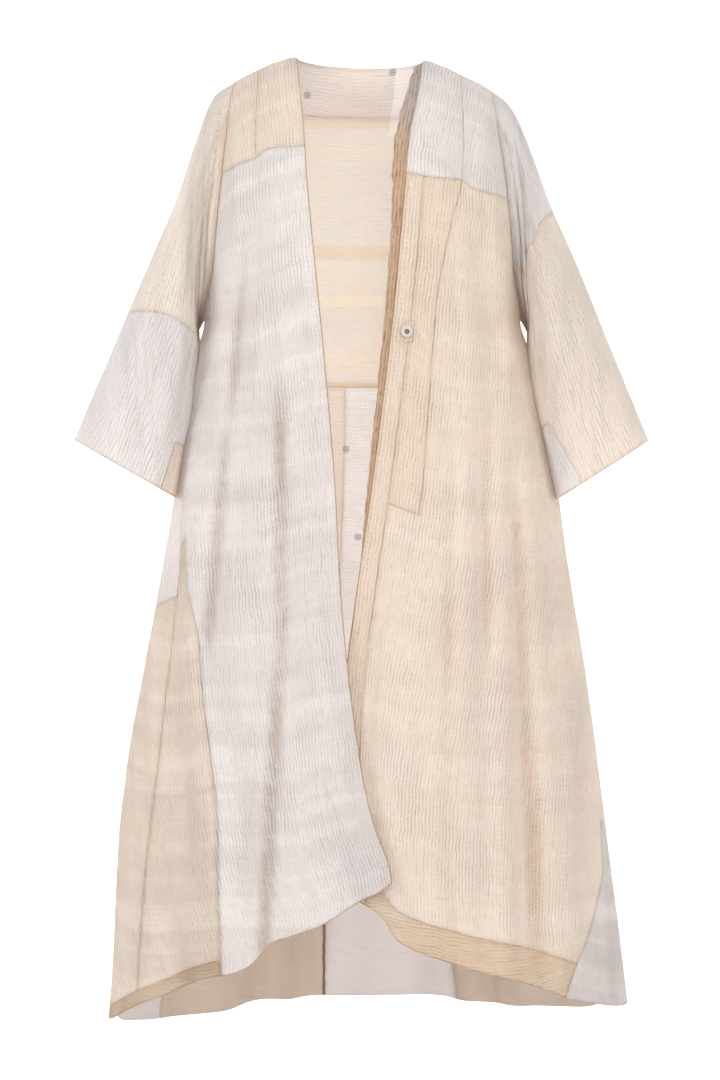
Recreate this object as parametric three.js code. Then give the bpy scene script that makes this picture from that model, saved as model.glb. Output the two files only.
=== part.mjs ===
// Quilted patchwork kimono coat, open at the front, in its worn hollow form.
// Millimetres, +Z up, front towards -Y, origin midway between the neck points.
import * as THREE from "three";

// Driving dimensions
const clothWall = 2.0;
const seamGap = 0.3;
const cornerEase = 1.8;
const quiltRise = 0.7;
const squareness = 2.2;
const shoulderRound = 220;
const neckHalfWidth = 84;
const backNeckDepth = 62;
const backNeckDrop = 3;
const lapGap = 5.5;
const edgeStripWidth = 25;
const patchWidth = 21;
const patchHeight = 30;
const snapDiscRadius = 7.6;
const snapPostRadius = 2.8;
const snapThick = 0.9;
const snapFromEdge = 20;
const snapDepth = -373;

// Grid rows of the body at the yoke seam, underarm, back seam, side seam step, hem band and hem
const yokeRow = 8;
const armRow = 18;
const backSeamRow = 22;
const sideStepRow = 30;
const bandRow = 46;
const hemRow = 48;
const rowBreaks = [0, yokeRow, armRow, backSeamRow, sideStepRow, bandRow, hemRow];
const underarmDepth = -350;
const sideHemDepth = { left: -1275, right: -1254 };
const sideSeamDepth = -474;
const sideStepDepth = -738;

const backNeckRow = 6;
const rightGoreRow = 28;
const leftBandEndRow = 28;
const leftGoreRow = 40;

// Grid columns of the body at the lines between its panels
const rightColumns = { strip: 5, gore: 10, side: 13, last: 17 };
const leftColumns = { band: 1, strip: 4, gore: 12, last: 16 };
const backColumns = { right: 7, middle: 14, left: 21, last: 30 };

// Grid of a sleeve: rows run round it from the shoulder over the front, columns run down it
const sleeveTurns = 2 * armRow;
const sleeveColumns = 18;
const rightSeamColumn = 10;
const leftSeamColumn = 6;
const leftCapRow = 12;
const wedgeRow = armRow - 4;
const rightWedgeColumn = 16;
const leftWedgeColumn = 15;

// Level sections of the body: half widths on the viewer's left and right, depths front and back
const bodySections = [
  { z: 20, left: 196, right: 196, front: 92, back: 82 },
  { z: -60, left: 212, right: 216, front: 105, back: 98 },
  { z: -130, left: 226, right: 230, front: 118, back: 108 },
  { z: -200, left: 229, right: 234, front: 126, back: 112 },
  { z: -270, left: 222, right: 228, front: 128, back: 110 },
  { z: -350, left: 207, right: 213, front: 124, back: 104 },
  { z: -395, left: 218, right: 226, front: 121, back: 101 },
  { z: -445, left: 229, right: 238, front: 120, back: 100 },
  { z: -507, left: 237, right: 250, front: 122, back: 103 },
  { z: -585, left: 247, right: 264, front: 128, back: 114 },
  { z: -705, left: 267, right: 281, front: 143, back: 138 },
  { z: -813, left: 287, right: 299, front: 157, back: 160 },
  { z: -930, left: 308, right: 315, front: 172, back: 184 },
  { z: -1060, left: 322, right: 331, front: 185, back: 208 },
  { z: -1176, left: 327, right: 346, front: 196, back: 230 },
  { z: -1320, left: 337, right: 363, front: 208, back: 254 },
];

// Shoulder line from the neck point out, seen from the front
const shoulderLine = [
  { x: 0, left: 0, right: -4 },
  { x: 84, left: 0, right: -4 },
  { x: 110, left: -6, right: -12 },
  { x: 136, left: -17, right: -24 },
  { x: 166, left: -33, right: -39 },
  { x: 200, left: -60, right: -66 },
];

// Armhole seam, where each sleeve joins the body
const armholeLine = [
  { z: -30, left: 165, right: 170 },
  { z: -97, left: 177, right: 184 },
  { z: -168, left: 184, right: 194 },
  { z: -266, left: 195, right: 204 },
  { z: -320, left: 202, right: 209 },
  { z: -350, left: 207, right: 213 },
];

// Front edges and the lines that the seams and grid columns follow, each as x at its height
const rightFrontLines = [
  { z: 0, edge: -84, strip: -133, gore: -148, side: -157 },
  { z: -104, edge: -73, strip: -137, gore: -158, side: -169 },
  { z: -165, edge: -69, strip: -137, gore: -166, side: -176 },
  { z: -234, edge: -63, strip: -133, gore: -172, side: -182 },
  { z: -333, edge: -53, strip: -128, gore: -184, side: -195 },
  { z: -436, edge: -43, strip: -124, gore: -203, side: -213 },
  { z: -584, edge: -31, strip: -120, gore: -225, side: -233 },
  { z: -668, edge: -27, strip: -117, gore: -229, side: -236 },
  { z: -781, edge: -18, strip: -108, gore: -210, side: -246 },
  { z: -864, edge: -8, strip: -95, gore: -200, side: -256 },
  { z: -933, edge: 2, strip: -83, gore: -190, side: -264 },
  { z: -1000, edge: 17, strip: -73, gore: -182, side: -272 },
  { z: -1070, edge: 40, strip: -62, gore: -181, side: -279 },
  { z: -1195, edge: 46, strip: -56, gore: -176, side: -288 },
  { z: -1300, edge: 46, strip: -54, gore: -172, side: -293 },
];
const leftFrontLines = [
  { z: -4, edge: 84, strip: 134, gore: 156 },
  { z: -61, edge: 75, strip: 135, gore: 164 },
  { z: -120, edge: 64, strip: 136, gore: 172 },
  { z: -170, edge: 59, strip: 134, gore: 178 },
  { z: -236, edge: 53, strip: 118, gore: 186 },
  { z: -333, edge: 44, strip: 100, gore: 200 },
  { z: -477, edge: 27, strip: 88, gore: 226 },
  { z: -586, edge: 13, strip: 80, gore: 250 },
  { z: -732, edge: -8, strip: 62, gore: 273 },
  { z: -801, edge: -17, strip: 54, gore: 285 },
  { z: -900, edge: -26, strip: 48, gore: 300 },
  { z: -1000, edge: -28, strip: 56, gore: 316 },
  { z: -1074, edge: -22, strip: 72, gore: 318 },
  { z: -1111, edge: -17, strip: 82, gore: 308 },
  { z: -1151, edge: -14, strip: 90, gore: 294 },
  { z: -1183, edge: -12, strip: 96, gore: 279 },
  { z: -1220, edge: -10, strip: 102, gore: 266 },
  { z: -1320, edge: -8, strip: 112, gore: 246 },
];

// Heights of the yoke seams and of the hems, by the distance across
const rightYokeSeam = [
  { x: -190, z: -166 }, { x: -150, z: -150 }, { x: -138, z: -146 },
  { x: -118, z: -133 }, { x: -72, z: -131 },
];
const leftYokeSeam = [
  { x: 62, z: -166 }, { x: 86, z: -171 }, { x: 134, z: -175 },
  { x: 146, z: -184 }, { x: 196, z: -197 },
];
const rightHem = [
  { x: -336, z: -1275 }, { x: -280, z: -1241 }, { x: -252, z: -1226 }, { x: -196, z: -1201 },
  { x: -163, z: -1194 }, { x: -143, z: -1185 }, { x: -112, z: -1154 }, { x: -84, z: -1144 },
  { x: -47, z: -1130 }, { x: 6, z: -1098 }, { x: 32, z: -1087 }, { x: 42, z: -1078 },
];
const leftHem = [
  { x: -22, z: -1090 }, { x: 5, z: -1102 }, { x: 34, z: -1122 }, { x: 48, z: -1148 },
  { x: 71, z: -1163 }, { x: 106, z: -1176 }, { x: 161, z: -1193 }, { x: 208, z: -1204 },
  { x: 265, z: -1222 }, { x: 322, z: -1243 }, { x: 360, z: -1254 },
];
const backHem = [
  { x: -336, z: -1275 }, { x: -318, z: -1294 }, { x: -262, z: -1304 }, { x: -190, z: -1300 },
  { x: -120, z: -1288 }, { x: 0, z: -1284 }, { x: 110, z: -1284 }, { x: 180, z: -1292 },
  { x: 262, z: -1290 }, { x: 335, z: -1276 }, { x: 360, z: -1254 },
];
const rightBandDepth = 19;
const leftBandDepth = 42;
const backBandDepth = 40;

// Folds: a line down the cloth, its half width across and its height, outwards positive
const rightFrontFolds = [
  { x0: -142, z0: -190, x1: -172, z1: -450, width: 17, height: -7 },
  { x0: -172, z0: -430, x1: -200, z1: -760, width: 17, height: -7 },
  { x0: -104, z0: -400, x1: -103, z1: -760, width: 15, height: -6 },
  { x0: -103, z0: -720, x1: -124, z1: -1200, width: 16, height: -8 },
  { x0: -126, z0: -330, x1: -140, z1: -700, width: 13, height: 4 },
  { x0: -72, z0: -380, x1: -66, z1: -1000, width: 16, height: 4 },
  { x0: -238, z0: -820, x1: -250, z1: -1250, width: 22, height: -6 },
  { x0: -212, z0: -900, x1: -214, z1: -1250, width: 18, height: 5 },
  { x0: -20, z0: -900, x1: -10, z1: -1120, width: 18, height: 3 },
];
const leftFrontFolds = [
  { x0: 146, z0: -220, x1: 173, z1: -400, width: 15, height: -7 },
  { x0: 173, z0: -380, x1: 166, z1: -760, width: 15, height: -6 },
  { x0: 204, z0: -540, x1: 212, z1: -900, width: 16, height: -7 },
  { x0: 214, z0: -860, x1: 232, z1: -1240, width: 18, height: -8 },
  { x0: 112, z0: -640, x1: 118, z1: -1180, width: 15, height: -6 },
  { x0: 79, z0: -760, x1: 84, z1: -1160, width: 13, height: -4 },
  { x0: 142, z0: -480, x1: 146, z1: -1180, width: 15, height: 5 },
  { x0: 188, z0: -500, x1: 190, z1: -1200, width: 15, height: 5 },
  { x0: 96, z0: -300, x1: 98, z1: -900, width: 13, height: 3 },
  { x0: 270, z0: -760, x1: 284, z1: -1240, width: 20, height: 5 },
];
const backFolds = [
  { x0: -150, z0: -560, x1: -262, z1: -1310, width: 26, height: 10 },
  { x0: -110, z0: -520, x1: -200, z1: -1310, width: 24, height: -14 },
  { x0: -80, z0: -560, x1: -150, z1: -1310, width: 24, height: 13 },
  { x0: -60, z0: -480, x1: -105, z1: -1310, width: 18, height: -16 },
  { x0: -30, z0: -600, x1: -62, z1: -1310, width: 20, height: 8 },
  { x0: 0, z0: -620, x1: 8, z1: -1310, width: 24, height: -7 },
  { x0: 50, z0: -560, x1: 92, z1: -1310, width: 28, height: 11 },
  { x0: 80, z0: -520, x1: 148, z1: -1310, width: 18, height: -14 },
  { x0: 110, z0: -560, x1: 184, z1: -1310, width: 17, height: 11 },
  { x0: 130, z0: -540, x1: 226, z1: -1310, width: 20, height: -13 },
  { x0: 160, z0: -600, x1: 280, z1: -1310, width: 24, height: 9 },
  { x0: 70, z0: -180, x1: 84, z1: -520, width: 22, height: -5 },
  { x0: -70, z0: -180, x1: -84, z1: -520, width: 22, height: -5 },
];
const armholeFold = { width: 16, height: -6, top: -50, bottom: -345 };

// Sleeve sections: outer and inner ends seen from the front, half depth, and how far forward
const rightSleeveSections = [
  { q: 0, outX: -165, outZ: -33, inX: -207, inZ: -350, depth: 75, ahead: 0 },
  { q: 0.08, outX: -192, outZ: -52, inX: -213, inZ: -358, depth: 80, ahead: -3 },
  { q: 0.2, outX: -217, outZ: -114, inX: -220, inZ: -372, depth: 80, ahead: -9 },
  { q: 0.35, outX: -244, outZ: -196, inX: -226, inZ: -396, depth: 76, ahead: -16 },
  { q: 0.5, outX: -274, outZ: -266, inX: -231, inZ: -424, depth: 70, ahead: -22 },
  { q: 0.7, outX: -307, outZ: -344, inX: -236, inZ: -470, depth: 61, ahead: -29 },
  { q: 0.85, outX: -342, outZ: -428, inX: -241, inZ: -525, depth: 51, ahead: -34 },
  { q: 1, outX: -376, outZ: -510, inX: -247, inZ: -586, depth: 42, ahead: -38 },
];
const leftSleeveSections = [
  { q: 0, outX: 170, outZ: -41, inX: 213, inZ: -350, depth: 76, ahead: 0 },
  { q: 0.08, outX: 196, outZ: -62, inX: 221, inZ: -358, depth: 80, ahead: -3 },
  { q: 0.2, outX: 222, outZ: -116, inX: 228, inZ: -372, depth: 80, ahead: -9 },
  { q: 0.35, outX: 253, outZ: -200, inX: 235, inZ: -396, depth: 76, ahead: -16 },
  { q: 0.5, outX: 284, outZ: -272, inX: 241, inZ: -424, depth: 70, ahead: -22 },
  { q: 0.7, outX: 315, outZ: -350, inX: 248, inZ: -470, depth: 61, ahead: -29 },
  { q: 0.85, outX: 348, outZ: -432, inX: 256, inZ: -525, depth: 51, ahead: -34 },
  { q: 1, outX: 380, outZ: -511, inX: 266, inZ: -588, depth: 42, ahead: -38 },
];

// Sleeve folds: where round the sleeve, from which length to which, half width and height
const sleeveFolds = [
  { turn: 0.3, q0: 0.0, q1: 0.5, width: 0.05, height: -6 },
  { turn: 0.4, q0: 0.05, q1: 0.8, width: 0.045, height: -7 },
  { turn: 0.34, q0: 0.1, q1: 0.7, width: 0.03, height: 3 },
  { turn: 0.62, q0: 0.05, q1: 0.6, width: 0.05, height: -7 },
  { turn: 0.72, q0: 0.0, q1: 0.5, width: 0.05, height: -5 },
  { turn: 0.2, q0: 0.45, q1: 1.1, width: 0.06, height: -3 },
  { turn: 0.83, q0: 0.4, q1: 1.1, width: 0.06, height: -3 },
];

// Patchwork seam along each sleeve, and the underarm wedge, by the share of its row from the outer end
const rightSleeveSeam = [{ share: 0, q: 0.7 }, { share: 0.5, q: 0.52 }, { share: 1, q: 0.33 }];
const leftSleeveSeam = [
  { share: 0, q: 0.37 }, { share: 0.5, q: 0.22 }, { share: 0.66, q: 0.14 }, { share: 1, q: 0.12 },
];
const rightWedge = [
  { q: 0, keep: 1 }, { q: 0.6, keep: 1 }, { q: 0.82, keep: 1.08 }, { q: 1, keep: 1.02 },
];
const leftWedge = [
  { q: 0, keep: 1 }, { q: 0.5, keep: 1 }, { q: 0.74, keep: 1.05 }, { q: 1, keep: 0.85 },
];

function clamp(value, low, high) {
  return Math.min(high, Math.max(low, value));
}

function ease(value) {
  const t = clamp(value, 0, 1);
  return t * t * (3 - 2 * t);
}

// A smooth curve through one column of a table, level past its ends
function readTable(rows, inKey, outKey, value) {
  const rising = rows[rows.length - 1][inKey] > rows[0][inKey];
  const list = rising ? rows : [...rows].reverse();
  const last = list.length - 1;
  if (value <= list[0][inKey]) return list[0][outKey];
  if (value >= list[last][inKey]) return list[last][outKey];
  let k = 0;
  while (value > list[k + 1][inKey]) k += 1;
  const slope = (m) => {
    const a = list[clamp(m, 0, last - 1)];
    const b = list[clamp(m, 0, last - 1) + 1];
    return (b[outKey] - a[outKey]) / (b[inKey] - a[inKey]);
  };
  const blend = (m) => {
    if (m === 0 || m === last) return slope(m === 0 ? 0 : last - 1);
    const before = slope(m - 1);
    const after = slope(m);
    return before * after <= 0 ? 0 : (2 * before * after) / (before + after);
  };
  const span = list[k + 1][inKey] - list[k][inKey];
  const t = (value - list[k][inKey]) / span;
  const start = blend(k) * span;
  const end = blend(k + 1) * span;
  const rise = list[k + 1][outKey] - list[k][outKey];
  const bend = 3 * rise - 2 * start - end + t * (start + end - 2 * rise);
  return list[k][outKey] + t * (start + t * bend);
}

function sideKey(x) {
  return x < 0 ? "left" : "right";
}

// Half width and depth of the level section on the side of x
function sectionSize(face, x, z) {
  return {
    width: readTable(bodySections, "z", sideKey(x), z),
    depth: readTable(bodySections, "z", face < 0 ? "front" : "back", z),
  };
}

// Angle round the section at which the cloth reaches x, 0 at the centre and a quarter turn at the side
function angleAt(face, x, z) {
  const { width, depth } = sectionSize(face, x, z);
  const share = clamp(Math.abs(x) / width, 0, 1);
  const y = depth * (1 - share ** squareness) ** (1 / squareness);
  return Math.sign(x) * Math.atan2(Math.abs(x), y);
}

// Height of a fold table at x, z: each row is a soft trough or ridge that fades at its ends
function foldHeight(folds, x, z) {
  let total = 0;
  for (const fold of folds) {
    const run = (z - fold.z0) / (fold.z1 - fold.z0);
    const across = (x - fold.x0 - (fold.x1 - fold.x0) * clamp(run, 0, 1)) / fold.width;
    const fade = ease(run / 0.3) * ease((1.25 - run) / 0.35);
    total += fold.height * Math.exp(-across * across) * fade;
  }
  return total;
}

// Soft valley where the body meets the sleeve
function armholeValley(x, z) {
  const across = (Math.abs(x) - readTable(armholeLine, "z", sideKey(x), z)) / armholeFold.width;
  const fade = ease((armholeFold.top - z) / 60) * ease((z - armholeFold.bottom) / 60);
  return armholeFold.height * Math.exp(-across * across) * fade;
}

// How far the two fronts part where they lap, the right one outwards
function lapOffset(layer, x, z) {
  return layer * lapGap * ease((-620 - z) / 160) * ease((130 - Math.abs(x)) / 90);
}

// Point of the cloth at an angle round the section and a height
function bodyPoint(face, layer, folds, angle, z) {
  const turn = Math.abs(angle);
  const sign = angle < 0 ? -1 : 1;
  const { width, depth } = sectionSize(face, sign, z);
  const sine = Math.sin(turn);
  const cosine = Math.abs(Math.cos(turn));
  const reach = ((sine / width) ** squareness + (cosine / depth) ** squareness) ** (-1 / squareness);
  const x = sign * reach * sine;
  const out = reach * Math.cos(turn);
  const share = clamp(Math.abs(x) / neckHalfWidth, 0, 1);
  const neck = face > 0 ? Math.sqrt(1 - share * share) : 0;
  const drop = clamp((shoulderHeight(x) - z) / shoulderRound, 0, 1);
  const fullness = (1 - (1 - drop) ** 2) ** (0.5 + 0.5 * neck);
  const normalX = sign * (sine * reach / width) ** (squareness - 1) / width;
  const normalY = (cosine * reach / depth) ** (squareness - 1) / depth;
  const length = Math.hypot(normalX, normalY);
  const relief = foldHeight(folds, x, z) + armholeValley(x, z) + lapOffset(layer, x, z);
  const offset = relief * ease(drop * 4) * ease((Math.PI / 2 - turn) * 5);
  const y = neck * backNeckDepth + (out - neck * backNeckDepth) * fullness;
  return new THREE.Vector3(x + offset * normalX / length, face * (y + offset * normalY / length), z);
}

// Share of the way from one row break to the next: rows crowd at the shoulder and at the underarm
function rowShare(row) {
  let zone = 0;
  while (zone < rowBreaks.length - 2 && row > rowBreaks[zone + 1]) zone += 1;
  const share = (row - rowBreaks[zone]) / (rowBreaks[zone + 1] - rowBreaks[zone]);
  if (zone === 0) return { zone, share: Math.max(share, 0) ** 1.7 };
  if (zone === 1) return { zone, share: 1 - (1 - share) ** 1.5 };
  return { zone, share };
}

// Height of a grid row from the heights at the row breaks
function rowHeight(row, heights) {
  const { zone, share } = rowShare(row);
  return heights[zone] + (heights[zone + 1] - heights[zone]) * share;
}

// Angle of a grid column between the key lines of its panel
function columnAngle(column, lines) {
  let k = 0;
  while (k < lines.length - 2 && column > lines[k + 1].column) k += 1;
  const share = (column - lines[k].column) / (lines[k + 1].column - lines[k].column);
  return lines[k].angle + (lines[k + 1].angle - lines[k].angle) * share;
}

// The two shoulder lines run into each other across the back of the neck
function shoulderHeight(x) {
  const share = clamp(Math.abs(x) / neckHalfWidth, 0, 1);
  const across = ease((x / neckHalfWidth + 1) / 2);
  const right = readTable(shoulderLine, "x", sideKey(-1), Math.abs(x));
  const left = readTable(shoulderLine, "x", sideKey(1), Math.abs(x));
  return right + (left - right) * across - backNeckDrop * Math.sqrt(1 - share * share);
}

// Height at which a column that moves with height meets the shoulder line
function shoulderTop(placeAt) {
  let z = -20;
  for (let k = 0; k < 8; k += 1) z = shoulderHeight(placeAt(z));
  return z;
}

// Keeps the answers of a function of one number
function remember(work) {
  const known = new Map();
  return (value) => {
    if (!known.has(value)) known.set(value, work(value));
    return known.get(value);
  };
}

// Angle at the outer border: the armhole seam above the underarm, the side seam below it
function borderAngle(face, side, z) {
  if (z <= underarmDepth) return side * Math.PI / 2;
  return angleAt(face, side * readTable(armholeLine, "z", sideKey(side), z), z);
}

// A front: rows run across it and columns run down between the front edge and the outer border
function makeFront(side, front) {
  const keyLines = (z) => {
    const lines = front.keys.map(({ column, line, shift }) => ({
      column,
      angle: angleAt(-1, readTable(front.lines, "z", line, z) + shift, z),
    }));
    lines.push({ column: front.columns, angle: borderAngle(-1, side, z) });
    return lines;
  };
  const place = (column, z) => bodyPoint(-1, 0, [], columnAngle(column, keyLines(z)), z).x;
  const heights = remember((column) => {
    const across = column / front.columns;
    const hemFree = readTable(front.hem, "x", "z", place(column, -1170));
    const hem = hemFree + (sideHemDepth[sideKey(side)] - hemFree) * ease(across * 5 - 4);
    return [
      shoulderTop((z) => place(column, z)),
      readTable(front.yoke, "x", "z", place(column, -160)),
      underarmDepth,
      front.edgeSeamDepth + (sideSeamDepth - front.edgeSeamDepth) * across,
      front.edgeStepDepth + (sideStepDepth - front.edgeStepDepth) * across,
      hem + front.bandDepth,
      hem,
    ];
  });
  const point = (row, column) => {
    const z = rowHeight(row, heights(column));
    return bodyPoint(-1, front.layer, front.folds, columnAngle(column, keyLines(z)), z);
  };
  const onArmhole = (row, column) => column === front.columns && row < armRow;
  return {
    point, onArmhole, turned: side < 0, rows: hemRow, columns: front.columns,
    ridge: (row, column) => (onArmhole(row, column) ? 0 : row % 2),
  };
}

const rightFront = makeFront(-1, {
  columns: rightColumns.last,
  lines: rightFrontLines,
  keys: [
    { column: 0, line: "edge", shift: 0 },
    { column: rightColumns.strip, line: "strip", shift: 0 },
    { column: rightColumns.gore, line: "gore", shift: 0 },
    { column: rightColumns.side, line: "side", shift: 0 },
  ],
  yoke: rightYokeSeam,
  hem: rightHem,
  folds: rightFrontFolds,
  bandDepth: rightBandDepth,
  edgeSeamDepth: -440,
  edgeStepDepth: -640,
  layer: 1,
});
const leftFront = makeFront(1, {
  columns: leftColumns.last,
  lines: leftFrontLines,
  keys: [
    { column: 0, line: "edge", shift: 0 },
    { column: leftColumns.band, line: "edge", shift: edgeStripWidth },
    { column: leftColumns.strip, line: "strip", shift: 0 },
    { column: leftColumns.gore, line: "gore", shift: 0 },
  ],
  yoke: leftYokeSeam,
  hem: leftHem,
  folds: leftFrontFolds,
  bandDepth: leftBandDepth,
  edgeSeamDepth: -440,
  edgeStepDepth: -640,
  layer: -1,
});

// The back: one grid from side seam to side seam, with a key column at each seam between its panels
const backKeys = [
  { column: backColumns.right, top: -0.73, hem: -1.05 },
  { column: backColumns.middle, top: -0.14, hem: -0.2 },
  { column: backColumns.left, top: 0.73, hem: 0.54 },
];
const backYokeDepth = -110;
const backSeamDepth = -434;
const backStepDepth = -700;

function backLines(z) {
  const drift = ease(-z / 445);
  return [
    { column: 0, angle: borderAngle(1, -1, z) },
    ...backKeys.map(({ column, top, hem }) => ({ column, angle: top + (hem - top) * drift })),
    { column: backColumns.last, angle: borderAngle(1, 1, z) },
  ];
}

const backHeights = remember((column) => {
  const place = (z) => bodyPoint(1, 0, [], columnAngle(column, backLines(z)), z).x;
  const top = shoulderTop(place);
  const x = place(top);
  const outward = ease((Math.abs(x) - 60) / 100);
  const border = ease(Math.abs(column / backColumns.last - 0.5) * 8 - 3);
  const yokeSide = x < 0 ? rightYokeSeam[0].z : leftYokeSeam[leftYokeSeam.length - 1].z;
  const bandSide = x < 0 ? rightBandDepth : leftBandDepth;
  const hemFree = readTable(backHem, "x", "z", place(-1250));
  const hem = hemFree + (sideHemDepth[sideKey(x)] - hemFree) * border;
  return [
    top,
    backYokeDepth + (yokeSide - backYokeDepth) * outward,
    underarmDepth,
    backSeamDepth + (sideSeamDepth - backSeamDepth) * border,
    backStepDepth + (sideStepDepth - backStepDepth) * border,
    hem + backBandDepth + (bandSide - backBandDepth) * border,
    hem,
  ];
});

function backPoint(row, column) {
  const z = rowHeight(row, backHeights(column));
  return bodyPoint(1, 0, backFolds, columnAngle(column, backLines(z)), z);
}

function onBackArmhole(row, column) {
  return (column === 0 || column === backColumns.last) && row < armRow;
}

const back = {
  point: backPoint, onArmhole: onBackArmhole, turned: true, rows: hemRow, columns: backColumns.last,
  ridge: (row, column) => (onBackArmhole(row, column) ? 0 : row % 2),
  armholeNormals: {},
  armholeNormal: (row, column) => back.armholeNormals[column === 0 ? -1 : 1](row),
};

// Outward normal of a grid from short steps along its rows and columns
function gridNormal(grid, row, column) {
  const step = 0.01;
  const at = (r, c) => grid.point(
    grid.closed ? r : clamp(r, 0, grid.rows),
    clamp(c, 0, grid.columns),
  );
  const down = at(row + step, column).sub(at(row - step, column));
  const across = at(row, column + step).sub(at(row, column - step));
  const normal = down.cross(across).normalize();
  return grid.turned ? normal.negate() : normal;
}

// A sleeve: its first ring is the armhole seam, the rest follow the sections
function makeSleeve(side, sleeve, front) {
  const key = side < 0 ? "left" : "right";
  const top = readTable(shoulderLine, "x", key, armholeLine[0][key]);
  const borderSpot = (row) => {
    if (row <= armRow) return { grid: front, row, column: front.columns };
    return { grid: back, row: sleeveTurns - row, column: side < 0 ? 0 : backColumns.last };
  };
  const armhole = (row) => {
    const spot = borderSpot(row);
    return spot.grid.point(spot.row, spot.column);
  };
  const dropShare = (row) => clamp((top - armhole(row).z) / (top - underarmDepth), 0, 1);
  const wedgeBase = dropShare(wedgeRow);
  const ringTurn = (row, share) => {
    const turn = Math.acos(1 - 2 * clamp(share, 0, 1)) / (2 * Math.PI);
    return row <= armRow ? turn : 1 - turn;
  };
  const ringPoint = (turn, q, swell) => {
    const read = (name) => readTable(sleeve.sections, "q", name, q);
    const axisX = (read("outX") - read("inX")) / 2;
    const axisZ = (read("outZ") - read("inZ")) / 2;
    const reach = 1 + swell / Math.hypot(axisX, axisZ);
    const along = Math.cos(2 * Math.PI * turn);
    const forward = Math.sin(2 * Math.PI * turn);
    return new THREE.Vector3(
      read("inX") + axisX * (1 + along * reach),
      read("ahead") - (read("depth") + swell) * forward,
      read("inZ") + axisZ * (1 + along * reach),
    );
  };
  const swellAt = (turn, q) => {
    let swell = 0;
    for (const fold of sleeveFolds) {
      const across = (turn - fold.turn) / fold.width;
      const run = (q - fold.q0) / (fold.q1 - fold.q0);
      swell += fold.height * Math.exp(-across * across) * ease(run / 0.25) * ease((1 - run) / 0.3);
    }
    return swell;
  };
  const point = (row, column) => {
    const turned = ((row % sleeveTurns) + sleeveTurns) % sleeveTurns;
    const base = dropShare(turned);
    const seamQ = readTable(sleeve.seam, "share", "q", base);
    const past = (column - sleeve.seamColumn) / (sleeveColumns - sleeve.seamColumn);
    const q = past < 0 ? seamQ * column / sleeve.seamColumn : seamQ + (1 - seamQ) * past;
    const wedgeShare = wedgeBase * readTable(sleeve.wedge, "q", "keep", q);
    const share = base <= wedgeBase
      ? base * wedgeShare / wedgeBase
      : wedgeShare + (base - wedgeBase) * (1 - wedgeShare) / (1 - wedgeBase);
    const turn = ringTurn(turned, share);
    const settle = 1 - ease(q / 0.35);
    const seat = armhole(turned).sub(ringPoint(ringTurn(turned, base), 0, 0));
    return ringPoint(turn, q, swellAt(turn, q)).addScaledVector(seat, settle);
  };
  const sleeveGrid = {
    point, closed: true, turned: side < 0,
    rows: sleeveTurns, columns: sleeveColumns, ridge: (row, column) => column % 2,
    onArmhole: (row, column) => column === 0,
  };
  // At the armhole both cloths are cut on the line that halves the angle between them
  const armholeNormal = remember((row) => {
    const spot = borderSpot(row);
    const body = gridNormal(spot.grid, spot.row, spot.column);
    return gridNormal(sleeveGrid, row, 0).add(body).normalize();
  });
  sleeveGrid.armholeNormal = (row) => armholeNormal(row);
  front.armholeNormal = (row) => armholeNormal(row);
  back.armholeNormals[side] = (row) => armholeNormal(row === 0 ? 0 : sleeveTurns - row);
  return sleeveGrid;
}

const rightSleeve = makeSleeve(-1, {
  sections: rightSleeveSections, seam: rightSleeveSeam, seamColumn: rightSeamColumn, wedge: rightWedge,
}, rightFront);
const leftSleeve = makeSleeve(1, {
  sections: leftSleeveSections, seam: leftSleeveSeam, seamColumn: leftSeamColumn, wedge: leftWedge,
}, leftFront);

// Which cells of a grid a piece covers, from rectangles of rows and columns less a cut
function pieceCells(grid, spans, cuts = []) {
  const inside = ([row0, row1, column0, column1], row, column) => (
    row >= row0 && row < row1 && column >= column0 && column < column1
  );
  return (row, column) => {
    if (column < 0 || column >= grid.columns) return false;
    if (!grid.closed && (row < 0 || row >= grid.rows)) return false;
    const turned = grid.closed ? (row + grid.rows) % grid.rows : row;
    return spans.some((span) => inside(span, turned, column))
      && !cuts.some((cut) => inside(cut, turned, column));
  };
}

// Corner of a piece, drawn back half a seam gap from the neighbours that it does not cover
function seamCorner(grid, covers, row, column) {
  let down = 0;
  let across = 0;
  for (const rowStep of [-1, 1]) {
    for (const columnStep of [-1, 1]) {
      if (covers(row + (rowStep - 1) / 2, column + (columnStep - 1) / 2)) {
        down += rowStep;
        across += columnStep;
      }
    }
  }
  const probe = 0.02;
  const start = grid.point(row, column);
  const gap = down !== 0 && across !== 0 ? seamGap * cornerEase : seamGap;
  const nudge = (rowSign, columnSign) => {
    if (rowSign === 0 && columnSign === 0) return 0;
    const reach = grid.point(row + probe * rowSign, column + probe * columnSign).distanceTo(start);
    return (gap / 2) * probe / Math.max(reach, 1e-4);
  };
  const rowShift = Math.sign(down) * nudge(Math.sign(down), 0);
  const columnShift = Math.sign(across) * nudge(0, Math.sign(across));
  return { row: row + rowShift, column: column + columnShift };
}

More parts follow.
